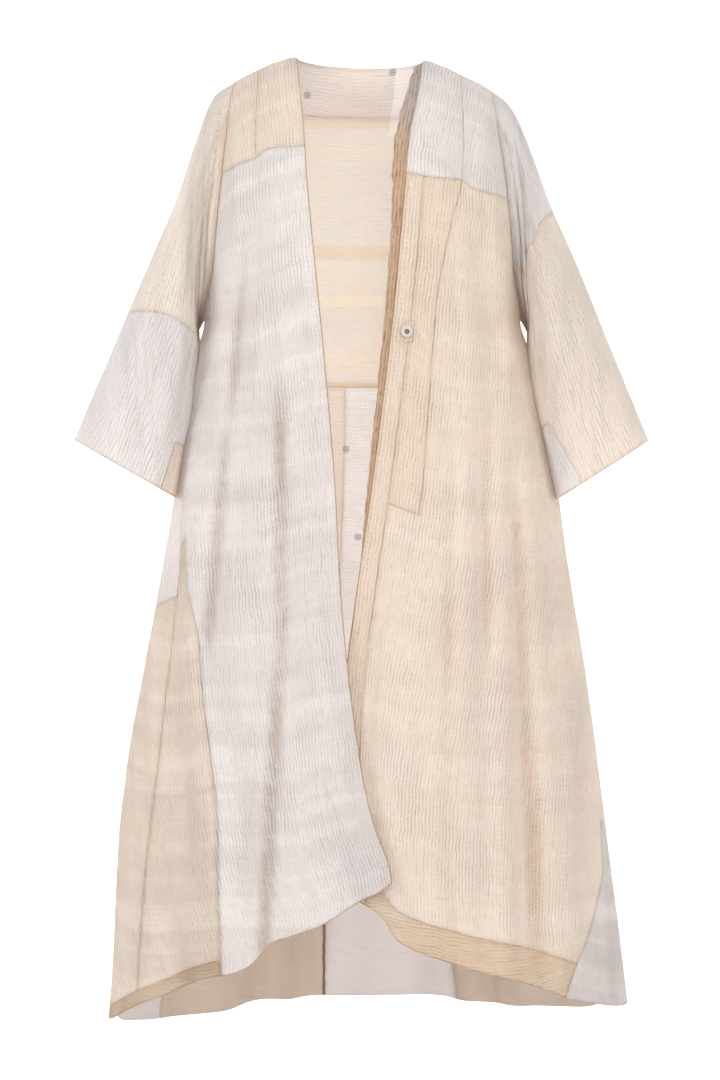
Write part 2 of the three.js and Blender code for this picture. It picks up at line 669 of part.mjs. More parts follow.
// A piece of quilted cloth: raised rows outside, a plain face inside on every second row
function makeCloth(grid, covers) {
  const positions = [];
  const triangles = [];
  const numbers = new Map();
  const corner = (row, column, side) => {
    const turned = grid.closed ? row % grid.rows : row;
    const name = `${turned} ${column} ${side}`;
    if (!numbers.has(name)) {
      const spot = seamCorner(grid, covers, turned, column);
      const normal = grid.onArmhole(turned, column)
        ? grid.armholeNormal(turned, column)
        : gridNormal(grid, spot.row, spot.column);
      const height = side > 0 ? grid.ridge(turned, column) * quiltRise : -clothWall;
      const place = grid.point(spot.row, spot.column).addScaledVector(normal, height);
      numbers.set(name, positions.length / 3);
      positions.push(place.x, place.y, place.z);
    }
    return numbers.get(name);
  };
  const addFan = (...corners) => {
    const [first, ...rest] = corners;
    const list = [first, ...(grid.turned ? rest.reverse() : rest)];
    for (let k = 1; k < list.length - 1; k += 1) triangles.push(list[0], list[k], list[k + 1]);
  };
  for (let row = 0; row < grid.rows; row += 1) {
    for (let column = 0; column < grid.columns; column += 1) {
      if (!covers(row, column)) continue;
      const out = (r, c) => corner(row + r, column + c, 1);
      const inner = (r, c) => corner(row + r, column + c, -1);
      addFan(out(0, 0), out(1, 0), out(1, 1), out(0, 1));
      if (row % 2 === 0) {
        addFan(inner(0, 0), inner(0, 1), inner(2, 1), inner(2, 0));
        if (!covers(row, column - 1)) addFan(out(1, 0), out(0, 0), inner(0, 0), inner(2, 0), out(2, 0));
        if (!covers(row, column + 1)) addFan(out(1, 1), out(2, 1), inner(2, 1), inner(0, 1), out(0, 1));
        if (!covers(row - 1, column)) addFan(out(0, 0), out(0, 1), inner(0, 1), inner(0, 0));
      } else if (!covers(row + 1, column)) {
        addFan(out(1, 1), out(1, 0), inner(1, 0), inner(1, 1));
      }
    }
  }
  const geometry = new THREE.BufferGeometry();
  geometry.setAttribute("position", new THREE.Float32BufferAttribute(positions, 3));
  geometry.setIndex(triangles);
  return geometry;
}

// Cloths, by their colour in daylight
const cloths = {
  white: new THREE.MeshStandardMaterial({ color: "#efe8e5", roughness: 0.9, metalness: 0 }),
  cream: new THREE.MeshStandardMaterial({ color: "#ecdcc9", roughness: 0.9, metalness: 0 }),
  tan: new THREE.MeshStandardMaterial({ color: "#e4ceb2", roughness: 0.9, metalness: 0 }),
  greige: new THREE.MeshStandardMaterial({ color: "#e2d5cb", roughness: 0.9, metalness: 0 }),
};
const snapBrass = new THREE.MeshStandardMaterial({ color: "#7a6a52", roughness: 0.4, metalness: 0.9 });
const snapPale = new THREE.MeshStandardMaterial({ color: "#dcd8d6", roughness: 0.6, metalness: 0 });

const kimono = new THREE.Group();

function addPiece(name, grid, cloth, spans, cuts) {
  const mesh = new THREE.Mesh(makeCloth(grid, pieceCells(grid, spans, cuts)), cloths[cloth]);
  mesh.name = name;
  kimono.add(mesh);
}

// Pieces of each grid: rows from, rows to, columns from, columns to
function addRightFront() {
  const { strip, gore, side, last } = rightColumns;
  addPiece("right_yoke_neck", rightFront, "cream", [[0, yokeRow, 0, strip]]);
  addPiece("right_yoke_shoulder", rightFront, "cream", [[0, yokeRow, strip, last]]);
  addPiece("right_front_panel", rightFront, "white", [
    [yokeRow, hemRow, 0, gore], [yokeRow, rightGoreRow, gore, side], [yokeRow, armRow, side, last],
  ]);
  addPiece("right_side_strip", rightFront, "white", [[armRow, sideStepRow, side, last]]);
  addPiece("right_side_gore", rightFront, "cream", [[rightGoreRow, bandRow, gore, side]]);
  addPiece("right_side_piece", rightFront, "cream", [[sideStepRow, bandRow, side, last]]);
  addPiece("right_hem_band", rightFront, "tan", [[bandRow, hemRow, gore, last]]);
}

function addLeftFront() {
  const { band, strip, gore, last } = leftColumns;
  addPiece("left_yoke_neck", leftFront, "white", [[0, yokeRow, 0, strip]]);
  addPiece("left_yoke_shoulder", leftFront, "white", [[0, yokeRow, strip, last]]);
  addPiece("left_front_edge", leftFront, "tan", [[yokeRow, hemRow, 0, band]]);
  addPiece("left_front_band", leftFront, "tan", [[yokeRow, leftBandEndRow, band, strip]]);
  addPiece("left_front_panel", leftFront, "cream", [
    [yokeRow, bandRow, strip, gore], [leftBandEndRow, bandRow, band, strip],
    [yokeRow, leftGoreRow, gore, last],
  ]);
  addPiece("left_side_gore", leftFront, "white", [[leftGoreRow, hemRow, gore, last]]);
  addPiece("left_hem_band", leftFront, "tan", [[bandRow, hemRow, band, gore]]);
}

function addBack() {
  const { right, middle, left, last } = backColumns;
  addPiece("back_neck", back, "greige", [[0, backNeckRow, 0, last]]);
  addPiece("back_upper", back, "cream", [[backNeckRow, backSeamRow, 0, last]]);
  addPiece("back_side_panel", back, "white", [[backSeamRow, hemRow, 0, right]]);
  addPiece("back_right_panel", back, "greige", [[backSeamRow, hemRow, right, middle]]);
  addPiece("back_middle_panel", back, "white", [[backSeamRow, hemRow, middle, left]]);
  addPiece("back_left_panel", back, "greige", [[backSeamRow, hemRow, left, last]]);
}

function addSleeves() {
  const last = sleeveColumns;
  const rightUnder = [wedgeRow, sleeveTurns - wedgeRow, rightWedgeColumn, last];
  const leftUnder = [wedgeRow, sleeveTurns - wedgeRow, leftWedgeColumn, last];
  addPiece("right_sleeve_upper", rightSleeve, "cream", [[0, sleeveTurns, 0, rightSeamColumn]]);
  addPiece("right_sleeve_lower", rightSleeve, "white",
    [[0, sleeveTurns, rightSeamColumn, last]], [rightUnder]);
  addPiece("right_sleeve_wedge", rightSleeve, "cream", [rightUnder]);
  addPiece("left_sleeve_cap", leftSleeve, "white", [
    [0, leftCapRow, 0, leftSeamColumn], [sleeveTurns - leftCapRow, sleeveTurns, 0, leftSeamColumn],
  ]);
  addPiece("left_sleeve_lower", leftSleeve, "cream", [
    [0, sleeveTurns, leftSeamColumn, last], [leftCapRow, sleeveTurns - leftCapRow, 0, leftSeamColumn],
  ], [leftUnder]);
  addPiece("left_sleeve_wedge", leftSleeve, "white", [leftUnder]);
}

// Row and column of a front at a distance in from its edge and a height
function gridSpot(grid, fromEdge, z) {
  const nearZ = (column) => {
    let low = armRow;
    let high = bandRow;
    for (let k = 0; k < 30; k += 1) {
      const middle = (low + high) / 2;
      if (grid.point(middle, column).z > z) low = middle;
      else high = middle;
    }
    return low;
  };
  const edge = grid.point(nearZ(0), 0);
  let column = 0;
  while (grid.point(nearZ(column), column).distanceTo(edge) < fromEdge) column += 0.02;
  return { row: nearZ(column), column };
}

// Place of a round or square fitting that lies on a front, proud of the cloth face by a height
function seatOn(grid, spot, height) {
  const normal = gridNormal(grid, spot.row, spot.column);
  const place = grid.point(spot.row, spot.column).addScaledVector(normal, height);
  return { place, normal };
}

function addFitting(name, material, geometry, seat, facing) {
  const mesh = new THREE.Mesh(geometry, material);
  const axis = seat.normal.clone().multiplyScalar(facing);
  mesh.name = name;
  mesh.position.copy(seat.place);
  mesh.quaternion.setFromUnitVectors(new THREE.Vector3(0, 1, 0), axis);
  kimono.add(mesh);
}

// Square of cloth that backs the snap, its outer face this height over the face of the panel
function addSnapPatch(spot, height) {
  const steps = 4;
  const near = gridSpot(leftFront, snapFromEdge - patchWidth / 2, snapDepth).column;
  const far = gridSpot(leftFront, snapFromEdge + patchWidth / 2, snapDepth).column;
  const down = gridSpot(leftFront, snapFromEdge, snapDepth - patchHeight / 2).row - spot.row;
  const grid = {
    rows: steps,
    columns: steps,
    turned: false,
    ridge: () => 0,
    onArmhole: () => false,
    point: (row, column) => {
      const r = spot.row + down * (2 * row / steps - 1);
      const c = near + (far - near) * column / steps;
      return leftFront.point(r, c).addScaledVector(gridNormal(leftFront, r, c), height);
    },
  };
  const mesh = new THREE.Mesh(makeCloth(grid, pieceCells(grid, [[0, steps, 0, steps]])), cloths.tan);
  mesh.name = "snap_patch";
  kimono.add(mesh);
}

function addSnap() {
  const spot = gridSpot(leftFront, snapFromEdge, snapDepth);
  const disc = new THREE.CylinderGeometry(snapDiscRadius, snapDiscRadius, snapThick, 24);
  const post = new THREE.CylinderGeometry(snapPostRadius, snapPostRadius, snapThick, 16);
  const patchTop = quiltRise + seamGap + clothWall;
  addSnapPatch(spot, patchTop);
  const discHeight = patchTop + seamGap + snapThick / 2;
  const postHeight = discHeight + snapThick + seamGap;
  addFitting("snap_disc", snapPale, disc, seatOn(leftFront, spot, discHeight), 1);
  addFitting("snap_post", snapBrass, post, seatOn(leftFront, spot, postHeight), 1);
  const mate = gridSpot(rightFront, snapFromEdge, snapDepth);
  const mateHeight = -clothWall - seamGap * 2 - snapThick / 2;
  addFitting("snap_socket", snapBrass, disc.clone(), seatOn(rightFront, mate, mateHeight), -1);
}

addRightFront();
addLeftFront();
addBack();
addSleeves();
addSnap();

export default kimono;
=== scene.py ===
import bpy
import numpy as np
from math import pi
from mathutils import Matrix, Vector


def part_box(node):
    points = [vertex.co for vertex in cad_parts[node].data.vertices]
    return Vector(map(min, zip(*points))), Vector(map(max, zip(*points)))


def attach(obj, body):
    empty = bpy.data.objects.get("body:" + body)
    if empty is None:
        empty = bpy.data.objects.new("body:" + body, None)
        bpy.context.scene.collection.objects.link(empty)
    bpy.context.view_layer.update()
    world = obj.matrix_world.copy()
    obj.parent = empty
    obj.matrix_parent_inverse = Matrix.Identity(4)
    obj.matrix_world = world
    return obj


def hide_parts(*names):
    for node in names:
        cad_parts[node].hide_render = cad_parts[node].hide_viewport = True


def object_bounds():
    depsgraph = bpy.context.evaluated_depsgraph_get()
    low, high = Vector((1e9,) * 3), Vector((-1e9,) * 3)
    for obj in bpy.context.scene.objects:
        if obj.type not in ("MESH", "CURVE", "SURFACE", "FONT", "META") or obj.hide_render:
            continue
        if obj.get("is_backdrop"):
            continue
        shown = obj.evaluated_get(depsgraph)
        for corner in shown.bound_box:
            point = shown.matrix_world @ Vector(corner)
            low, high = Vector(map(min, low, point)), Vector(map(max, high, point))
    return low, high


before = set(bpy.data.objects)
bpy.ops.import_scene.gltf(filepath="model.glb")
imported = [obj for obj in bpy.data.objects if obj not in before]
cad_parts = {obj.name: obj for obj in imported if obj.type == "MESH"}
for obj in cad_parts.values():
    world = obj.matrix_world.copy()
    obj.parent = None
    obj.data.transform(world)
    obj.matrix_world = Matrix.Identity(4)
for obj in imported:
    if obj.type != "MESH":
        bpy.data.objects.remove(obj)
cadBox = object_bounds()
print("frame loaded:", len(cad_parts), "nodes")

mm = 0.001    # the shape tables below are in millimetres, Blender is in metres

# camera level with the middle of the coat, straight in front of it
camera = dict(distance=4.0, height=-0.642, lens=100.25, sensor=36.0)

camData = bpy.data.cameras.new("frontCamera")
camData.lens = camera["lens"]
camData.sensor_width = camera["sensor"]    # the long, upright side of the picture
cam = bpy.data.objects.new("frontCamera", camData)
cam.location = (0.0, -camera["distance"], camera["height"])
cam.rotation_euler = (pi / 2, 0.0, 0.0)
bpy.context.collection.objects.link(cam)
bpy.context.scene.camera = cam

# curves through tables


def ease(t):
    # smooth step from 0 to 1
    t = np.clip(t, 0.0, 1.0)
    return t * t * (3.0 - 2.0 * t)


def curve(rows, key, column, value):
    # cubic through the rows with harmonic-mean slopes, level past both ends
    rows = np.asarray(rows, float)
    if rows[-1, key] < rows[0, key]:
        rows = rows[::-1]
    x, y = rows[:, key], rows[:, column]
    slope = np.diff(y) / np.diff(x)
    both = slope[:-1] * slope[1:]
    total = slope[:-1] + slope[1:]
    inner = np.where(both > 0, 2 * both / np.where(total == 0, 1, total), 0.0)
    bend = np.concatenate([slope[:1], inner, slope[-1:]])
    value = np.clip(value, x[0], x[-1])
    k = np.clip(np.searchsorted(x, value, side="left") - 1, 0, len(x) - 2)
    span = x[k + 1] - x[k]
    t = (value - x[k]) / span
    start, end, rise = bend[k] * span, bend[k + 1] * span, y[k + 1] - y[k]
    return y[k] + t * (start + t * (3 * rise - 2 * start - end + t * (start + end - 2 * rise)))


def noise2(u, v, seed):
    # value noise: random heights on a lattice of unit cells, eased between them, from -1 to 1
    lattice = np.random.default_rng(seed).uniform(-1, 1, (64, 64))
    i, j = np.floor(u).astype(int), np.floor(v).astype(int)
    fu, fv = ease(u - i), ease(v - j)
    pick = lambda a, b: lattice[a % 64, b % 64]
    low = pick(i, j) * (1 - fu) + pick(i + 1, j) * fu
    high = pick(i, j + 1) * (1 - fu) + pick(i + 1, j + 1) * fu
    return low * (1 - fv) + high * fv


# body of the coat, in mm
# level sections: height, half width on the viewer's left and right, depth front and back
body = dict(
    sections=[
        (20, 196, 196, 92, 82), (-60, 212, 216, 105, 98), (-130, 226, 230, 118, 108),
        (-200, 229, 234, 126, 112), (-270, 222, 228, 128, 110), (-350, 207, 213, 124, 104),
        (-395, 218, 226, 121, 101), (-445, 229, 238, 120, 100), (-507, 237, 250, 122, 103),
        (-585, 247, 264, 128, 114), (-705, 267, 281, 143, 138), (-813, 287, 299, 157, 160),
        (-930, 308, 315, 172, 184), (-1060, 322, 331, 185, 208), (-1176, 327, 346, 196, 230),
        (-1320, 337, 363, 208, 254)],
    squareness=2.2, shoulderRound=220.0, underarm=-350.0,
    neckHalfWidth=84.0, neckDepth=62.0, neckDrop=3.0, lapGap=5.5,
    # distance out, height on the viewer's left and right
    shoulder=[(0, 0, -4), (84, 0, -4), (110, -6, -12), (136, -17, -24), (166, -33, -39),
              (200, -60, -66)],
    # height, distance out on the viewer's left and right
    armhole=[(-30, 165, 170), (-97, 177, 184), (-168, 184, 194), (-266, 195, 204),
             (-320, 202, 209), (-350, 207, 213)],
    armholeFold=dict(width=16.0, height=-6.0, top=-50.0, bottom=-345.0),
    sideHem=(-1275.0, -1254.0),
    rowBreaks=np.array([0, 8, 18, 22, 30, 46, 48], float),
)

# folds: x0, z0, x1, z1, half width, height outwards
rightFolds = [
    (-142, -190, -172, -450, 17, -7), (-172, -430, -200, -760, 17, -7),
    (-104, -400, -103, -760, 15, -6), (-103, -720, -124, -1200, 16, -8),
    (-126, -330, -140, -700, 13, 4), (-72, -380, -66, -1000, 16, 4),
    (-238, -820, -250, -1250, 22, -6), (-212, -900, -214, -1250, 18, 5),
    (-20, -900, -10, -1120, 18, 3)]
leftFolds = [
    (146, -220, 173, -400, 15, -7), (173, -380, 166, -760, 15, -6),
    (204, -540, 212, -900, 16, -7), (214, -860, 232, -1240, 18, -8),
    (112, -640, 118, -1180, 15, -6), (79, -760, 84, -1160, 13, -4),
    (142, -480, 146, -1180, 15, 5), (188, -500, 190, -1200, 15, 5),
    (96, -300, 98, -900, 13, 3), (270, -760, 284, -1240, 20, 5)]
backFolds = [
    (-150, -560, -262, -1310, 26, 10), (-110, -520, -200, -1310, 24, -14),
    (-80, -560, -150, -1310, 24, 13), (-60, -480, -105, -1310, 18, -16),
    (-30, -600, -62, -1310, 20, 8), (0, -620, 8, -1310, 24, -7),
    (50, -560, 92, -1310, 28, 11), (80, -520, 148, -1310, 18, -14),
    (110, -560, 184, -1310, 17, 11), (130, -540, 226, -1310, 20, -13),
    (160, -600, 280, -1310, 24, 9), (70, -180, 84, -520, 22, -5),
    (-70, -180, -84, -520, 22, -5)]

# smaller creases that only the fine cloth has: x0, z0, x1, z1, half width, height
rightCreases = [
    (-152, -210, -174, -450, 14, -2.6), (-176, -430, -200, -770, 14, -2.6),
    (-168, -150, -182, -330, 7, -1.6), (-150, -250, -166, -430, 6, -1.2),
    (-112, -250, -118, -420, 7, -1.2), (-92, -180, -90, -330, 8, 0.9),
    (-190, -380, -207, -560, 8, -1.8), (-160, -540, -176, -760, 7, -1.4),
    (-88, -560, -84, -800, 8, -1.2), (-60, -620, -52, -860, 9, 1.0),
    (-136, -700, -150, -900, 8, -1.2), (-84, -880, -78, -1080, 9, -1.4),
    (-40, -760, -30, -960, 9, -1.0), (-150, -930, -156, -1150, 9, 1.2),
    (-230, -620, -240, -800, 8, -1.4), (-270, -760, -282, -1010, 10, -1.8)]
leftCreases = [
    (118, -480, 120, -780, 12, -2.4), (206, -490, 212, -790, 12, -2.4),
    (160, -190, 172, -320, 7, -1.6), (176, -260, 186, -430, 7, -1.4),
    (120, -240, 128, -420, 7, -1.0), (150, -420, 156, -620, 7, -1.2),
    (190, -420, 200, -640, 8, -1.6), (226, -470, 240, -700, 8, -1.6),
    (96, -560, 98, -760, 7, -1.0), (130, -700, 134, -930, 8, 1.2),
    (160, -820, 168, -1090, 8, -1.4), (190, -900, 200, -1180, 9, -1.4),
    (60, -880, 66, -1080, 8, 1.0), (246, -700, 262, -980, 9, -1.6),
    (30, -640, 22, -900, 8, -0.9)]
backCreases = [
    (-30, -150, -34, -330, 9, 1.2), (36, -170, 40, -360, 8, -1.2), (-4, -190, -2, -300, 6, -1.2),
    (-150, -180, -176, -400, 10, -1.8), (150, -200, 178, -410, 10, -1.8),
    (-120, -300, -130, -540, 8, 1.4), (118, -320, 130, -560, 8, 1.4),
    (-190, -560, -240, -900, 10, -2.0), (196, -560, 250, -900, 10, -2.0),
    (20, -500, 30, -800, 8, -1.4), (-20, -520, -30, -760, 8, -1.2)]


def section(face, x, z):
    # half width on the side of x, and depth, of the level section at z
    left, right = curve(body["sections"], 0, 1, z), curve(body["sections"], 0, 2, z)
    depth = curve(body["sections"], 0, 3 if face < 0 else 4, z)
    return np.where(x < 0, left, right), depth


def angleAt(face, x, z):
    # angle round the section at which its superellipse reaches x
    n = body["squareness"]
    width, depth = section(face, x, z)
    share = np.clip(np.abs(x) / width, 0, 1)
    return np.sign(x) * np.arctan2(np.abs(x), depth * (1 - share ** n) ** (1 / n))


def foldHeight(folds, x, z):
    # each fold is a bell across its line, and fades in and out along it
    total = np.zeros(np.broadcast(x, z).shape)
    for x0, z0, x1, z1, width, height in folds:
        run = (z - z0) / (z1 - z0)
        across = (x - x0 - (x1 - x0) * np.clip(run, 0, 1)) / width
        total += height * np.exp(-across ** 2) * ease(run / 0.3) * ease((1.25 - run) / 0.35)
    return total


def shoulderHeight(x):
    # the two shoulder lines run into each other across the back of the neck
    share = np.clip(np.abs(x) / body["neckHalfWidth"], 0, 1)
    left = curve(body["shoulder"], 0, 1, np.abs(x))
    right = curve(body["shoulder"], 0, 2, np.abs(x))
    across = ease((x / body["neckHalfWidth"] + 1) / 2)
    return left + (right - left) * across - body["neckDrop"] * np.sqrt(1 - share ** 2)


def bodyPoint(face, layer, folds, angle, z):
    # superellipse section at z, rounded over to the shoulder line above, with its folds
    n = body["squareness"]
    turn, sign = np.abs(angle), np.where(angle < 0, -1.0, 1.0)
    width, depth = section(face, sign, z)
    sine, cosine = np.sin(turn), np.abs(np.cos(turn))
    reach = ((sine / width) ** n + (cosine / depth) ** n) ** (-1 / n)
    x, out = sign * reach * sine, reach * np.cos(turn)
    share = np.clip(np.abs(x) / body["neckHalfWidth"], 0, 1)
    neck = np.sqrt(1 - share ** 2) if face > 0 else np.zeros_like(x)
    drop = np.clip((shoulderHeight(x) - z) / body["shoulderRound"], 0, 1)
    fullness = (1 - (1 - drop) ** 2) ** (0.5 + 0.5 * neck)
    nx = sign * (sine * reach / width) ** (n - 1) / width
    ny = (cosine * reach / depth) ** (n - 1) / depth
    length = np.hypot(nx, ny)
    fold = body["armholeFold"]
    seam = np.where(x < 0, curve(body["armhole"], 0, 1, z), curve(body["armhole"], 0, 2, z))
    valley = fold["height"] * np.exp(-((np.abs(x) - seam) / fold["width"]) ** 2) \
        * ease((fold["top"] - z) / 60) * ease((z - fold["bottom"]) / 60)
    lap = layer * body["lapGap"] * ease((-620 - z) / 160) * ease((130 - np.abs(x)) / 90)
    offset = (foldHeight(folds, x, z) + valley + lap) * ease(drop * 4) * ease((pi / 2 - turn) * 5)
    y = neck * body["neckDepth"] + (out - neck * body["neckDepth"]) * fullness
    return np.stack([x + offset * nx / length, face * (y + offset * ny / length), z + 0 * x], -1)


def rowHeight(rows, heights):
    # rows crowd at the shoulder and at the underarm
    breaks = body["rowBreaks"]
    zone = np.searchsorted(breaks[1:-1], rows, side="left")
    share = np.clip((rows - breaks[zone]) / (breaks[zone + 1] - breaks[zone]), 0, 1)
    share = np.where(zone == 0, share ** 1.7, np.where(zone == 1, 1 - (1 - share) ** 1.5, share))
    top, bottom = heights[zone], heights[zone + 1]
    return top + (bottom - top) * share[:, None]


def columnAngle(columns, keys):
    # straight between the key lines of the panels
    angle = keys[0][1]
    for (c0, a0), (c1, a1) in zip(keys[:-1], keys[1:]):
        share = np.clip((columns - c0) / (c1 - c0), 0, 1)
        angle = angle + (a1 - a0) * share
    return angle


def borderAngle(face, side, z):
    seam = side * curve(body["armhole"], 0, 1 if side < 0 else 2, z)
    return np.where(z <= body["underarm"], side * pi / 2, angleAt(face, seam, z))


def shoulderTop(place, columns):
    z = np.full(columns.shape, -20.0)
    for step in range(8):
        z = shoulderHeight(place(columns, z))
    return z


# front edges and panel lines: height, then x of each line
rightFront = dict(
    side=-1, layer=1, folds=rightFolds, creases=rightCreases, rows=48, columns=17,
    lines=[(0, -84, -133, -148, -157), (-104, -73, -137, -158, -169),
           (-165, -69, -137, -166, -176), (-234, -63, -133, -172, -182),
           (-333, -53, -128, -184, -195), (-436, -43, -124, -203, -213),
           (-584, -31, -120, -225, -233), (-668, -27, -117, -229, -236),
           (-781, -18, -108, -210, -246), (-864, -8, -95, -200, -256),
           (-933, 2, -83, -190, -264), (-1000, 17, -73, -182, -272),
           (-1070, 40, -62, -181, -279), (-1195, 46, -56, -176, -288),
           (-1300, 46, -54, -172, -293)],
    keys=[(0, 1, 0), (5, 2, 0), (10, 3, 0), (13, 4, 0)],    # column, line, shift
    yoke=[(-190, -166), (-150, -150), (-138, -146), (-118, -133), (-72, -131)],
    hem=[(-336, -1275), (-280, -1241), (-252, -1226), (-196, -1201), (-163, -1194),
         (-143, -1185), (-112, -1154), (-84, -1144), (-47, -1130), (6, -1098), (32, -1087),
         (42, -1078)],
    band=19.0, sideHem=-1275.0,
)
leftFront = dict(
    side=1, layer=-1, folds=leftFolds, creases=leftCreases, rows=48, columns=16,
    lines=[(-4, 84, 134, 156), (-61, 75, 135, 164), (-120, 64, 136, 172),
           (-170, 59, 134, 178), (-236, 53, 118, 186), (-333, 44, 100, 200),
           (-477, 27, 88, 226), (-586, 13, 80, 250), (-732, -8, 62, 273),
           (-801, -17, 54, 285), (-900, -26, 48, 300), (-1000, -28, 56, 316),
           (-1074, -22, 72, 318), (-1111, -17, 82, 308), (-1151, -14, 90, 294),
           (-1183, -12, 96, 279), (-1220, -10, 102, 266), (-1320, -8, 112, 246)],
    keys=[(0, 1, 0), (1, 1, 25), (4, 2, 0), (12, 3, 0)],
    yoke=[(62, -166), (86, -171), (134, -175), (146, -184), (196, -197)],
    hem=[(-22, -1090), (5, -1102), (34, -1122), (48, -1148), (71, -1163), (106, -1176),
         (161, -1193), (208, -1204), (265, -1222), (322, -1243), (360, -1254)],
    band=42.0, sideHem=-1254.0,
)
back = dict(
    folds=backFolds, creases=backCreases, rows=48, columns=30,
    keys=[(7, -0.73, -1.05), (14, -0.14, -0.2), (21, 0.73, 0.54)],    # column, angle at top and hem
    yokeSide=(-166.0, -197.0), bandSide=(19.0, 42.0), band=40.0,
    hem=[(-336, -1275), (-318, -1294), (-262, -1304), (-190, -1300), (-120, -1288),
         (0, -1284), (110, -1284), (180, -1292), (262, -1290), (335, -1276), (360, -1254)],
)


def frontPoints(front, rows, columns):
    # a front: rows run across it, columns run down between its edge and the outer border
    side = front["side"]

    def angles(columns, z):
        keys = [(c, angleAt(-1, curve(front["lines"], 0, line, z) + shift, z))
                for c, line, shift in front["keys"]]
        return columnAngle(columns, keys + [(front["columns"], borderAngle(-1, side, z))])

    def place(columns, z):
        return bodyPoint(-1, 0, [], angles(columns, z), z)[..., 0]

    level = lambda z: np.full(columns.shape, float(z))
    across = columns / front["columns"]
    hem = curve(front["hem"], 0, 1, place(columns, level(-1170)))
    hem = hem + (front["sideHem"] - hem) * ease(across * 5 - 4)
    heights = np.stack([
        shoulderTop(place, columns),
        curve(front["yoke"], 0, 1, place(columns, level(-160))),
        level(body["underarm"]),
        -440 + (-474 + 440) * across,
        -640 + (-738 + 640) * across,
        hem + front["band"],
        hem])
    z = rowHeight(rows, heights)
    return bodyPoint(-1, front["layer"], front["folds"] + front["creases"], angles(columns, z), z)


def backPoints(back, rows, columns):
    # the back: rows run from side seam to side seam
    def angles(columns, z):
        drift = ease(-z / 445)
        keys = [(c, top + (low - top) * drift) for c, top, low in back["keys"]]
        ends = [(0, borderAngle(1, -1, z))], [(back["columns"], borderAngle(1, 1, z))]
        return columnAngle(columns, ends[0] + keys + ends[1])

    def place(columns, z):
        return bodyPoint(1, 0, [], angles(columns, z), z)[..., 0]

    top = shoulderTop(place, columns)
    x = place(columns, top)
    outward = ease((np.abs(x) - 60) / 100)
    border = ease(np.abs(columns / back["columns"] - 0.5) * 8 - 3)
    sided = lambda pair: np.where(x < 0, pair[0], pair[1])
    hem = curve(back["hem"], 0, 1, place(columns, np.full(columns.shape, -1250.0)))
    hem = hem + (sided(body["sideHem"]) - hem) * border
    heights = np.stack([
        top,
        -110 + (sided(back["yokeSide"]) + 110) * outward,
        np.full(columns.shape, body["underarm"]),
        -434 + (-474 + 434) * border,
        -700 + (-738 + 700) * border,
        hem + back["band"] + (sided(back["bandSide"]) - back["band"]) * border,
        hem])
    z = rowHeight(rows, heights)
    return bodyPoint(1, 0, back["folds"] + back["creases"], angles(columns, z), z)


# sleeves, in mm
# sections: q along the sleeve, outer end x, z, inner end x, z, half depth, how far forward
# the inner ends lie up to 18 mm nearer the body than in part.mjs and cut into the coat's side
rightSleeve = dict(
    side=-1, front=rightFront, rows=36, columns=18, seamColumn=10,
    sections=[(0, -165, -33, -207, -350, 75, 0), (0.08, -192, -52, -211, -358, 80, -3),
              (0.2, -217, -114, -216, -372, 80, -9), (0.35, -244, -196, -211, -396, 76, -16),
              (0.5, -274, -266, -213, -424, 70, -22), (0.7, -307, -344, -219, -470, 61, -29),
              (0.85, -342, -428, -232, -525, 51, -35), (1, -376, -510, -242, -586, 42, -41)],
    seam=[(0, 0.7), (0.5, 0.52), (1, 0.33)],
    wedge=[(0, 1), (0.6, 1), (0.82, 1.08), (1, 1.02)],
)
leftSleeve = dict(
    side=1, front=leftFront, rows=36, columns=18, seamColumn=6,
    sections=[(0, 170, -41, 213, -350, 76, 0), (0.08, 196, -62, 218, -358, 80, -3),
              (0.2, 222, -116, 223, -372, 80, -9), (0.35, 253, -200, 221, -396, 76, -16),
              (0.5, 284, -272, 223, -424, 70, -22), (0.7, 315, -350, 231, -470, 61, -29),
              (0.85, 348, -432, 245, -525, 51, -35), (1, 380, -511, 259, -588, 42, -41)],
    seam=[(0, 0.37), (0.5, 0.22), (0.66, 0.14), (1, 0.12)],
    wedge=[(0, 1), (0.5, 1), (0.74, 1.05), (1, 0.85)],
)
# folds of both sleeves: where round it, q from, q to, half width, height
sleeveFolds = [
    (0.3, 0.0, 0.5, 0.05, -6), (0.4, 0.05, 0.8, 0.045, -7), (0.34, 0.1, 0.7, 0.03, 3),
    (0.62, 0.05, 0.6, 0.05, -7), (0.72, 0.0, 0.5, 0.05, -5), (0.2, 0.45, 1.1, 0.06, -3),
    (0.83, 0.4, 1.1, 0.06, -3)]
# troughs and ridges beside the armhole: q and turn at the top, q and turn at the underarm,
# width in q, height
armholeCreases = [
    (0.022, 0.1, 0.15, 0.5, 0.014, -6.5), (0.05, 0.1, 0.19, 0.5, 0.012, 2.2),
    (0.075, 0.12, 0.23, 0.5, 0.013, -4.0), (0.115, 0.15, 0.29, 0.5, 0.016, -2.4),
    (0.03, 0.88, 0.16, 0.52, 0.016, -5.0), (0.08, 0.86, 0.24, 0.52, 0.016, -3.0)]
sleeveCreases = [
    (0.24, 0.02, 0.34, 0.014, -2.2), (0.345, 0.02, 0.6, 0.012, -3.2), (0.39, 0.06, 0.7, 0.012, -3.4),
    (0.43, 0.1, 0.7, 0.012, -3.0), (0.3, 0.1, 0.45, 0.01, -1.6),
    (0.15, 0.1, 0.5, 0.02, 1.0), (0.28, 0.4, 0.9, 0.02, -1.2), (0.1, 0.5, 1.1, 0.02, -0.9),
    (0.67, 0.05, 0.5, 0.016, -1.6), (0.78, 0.1, 0.6, 0.018, -1.3), (0.57, 0.2, 0.8, 0.016, -1.4)]


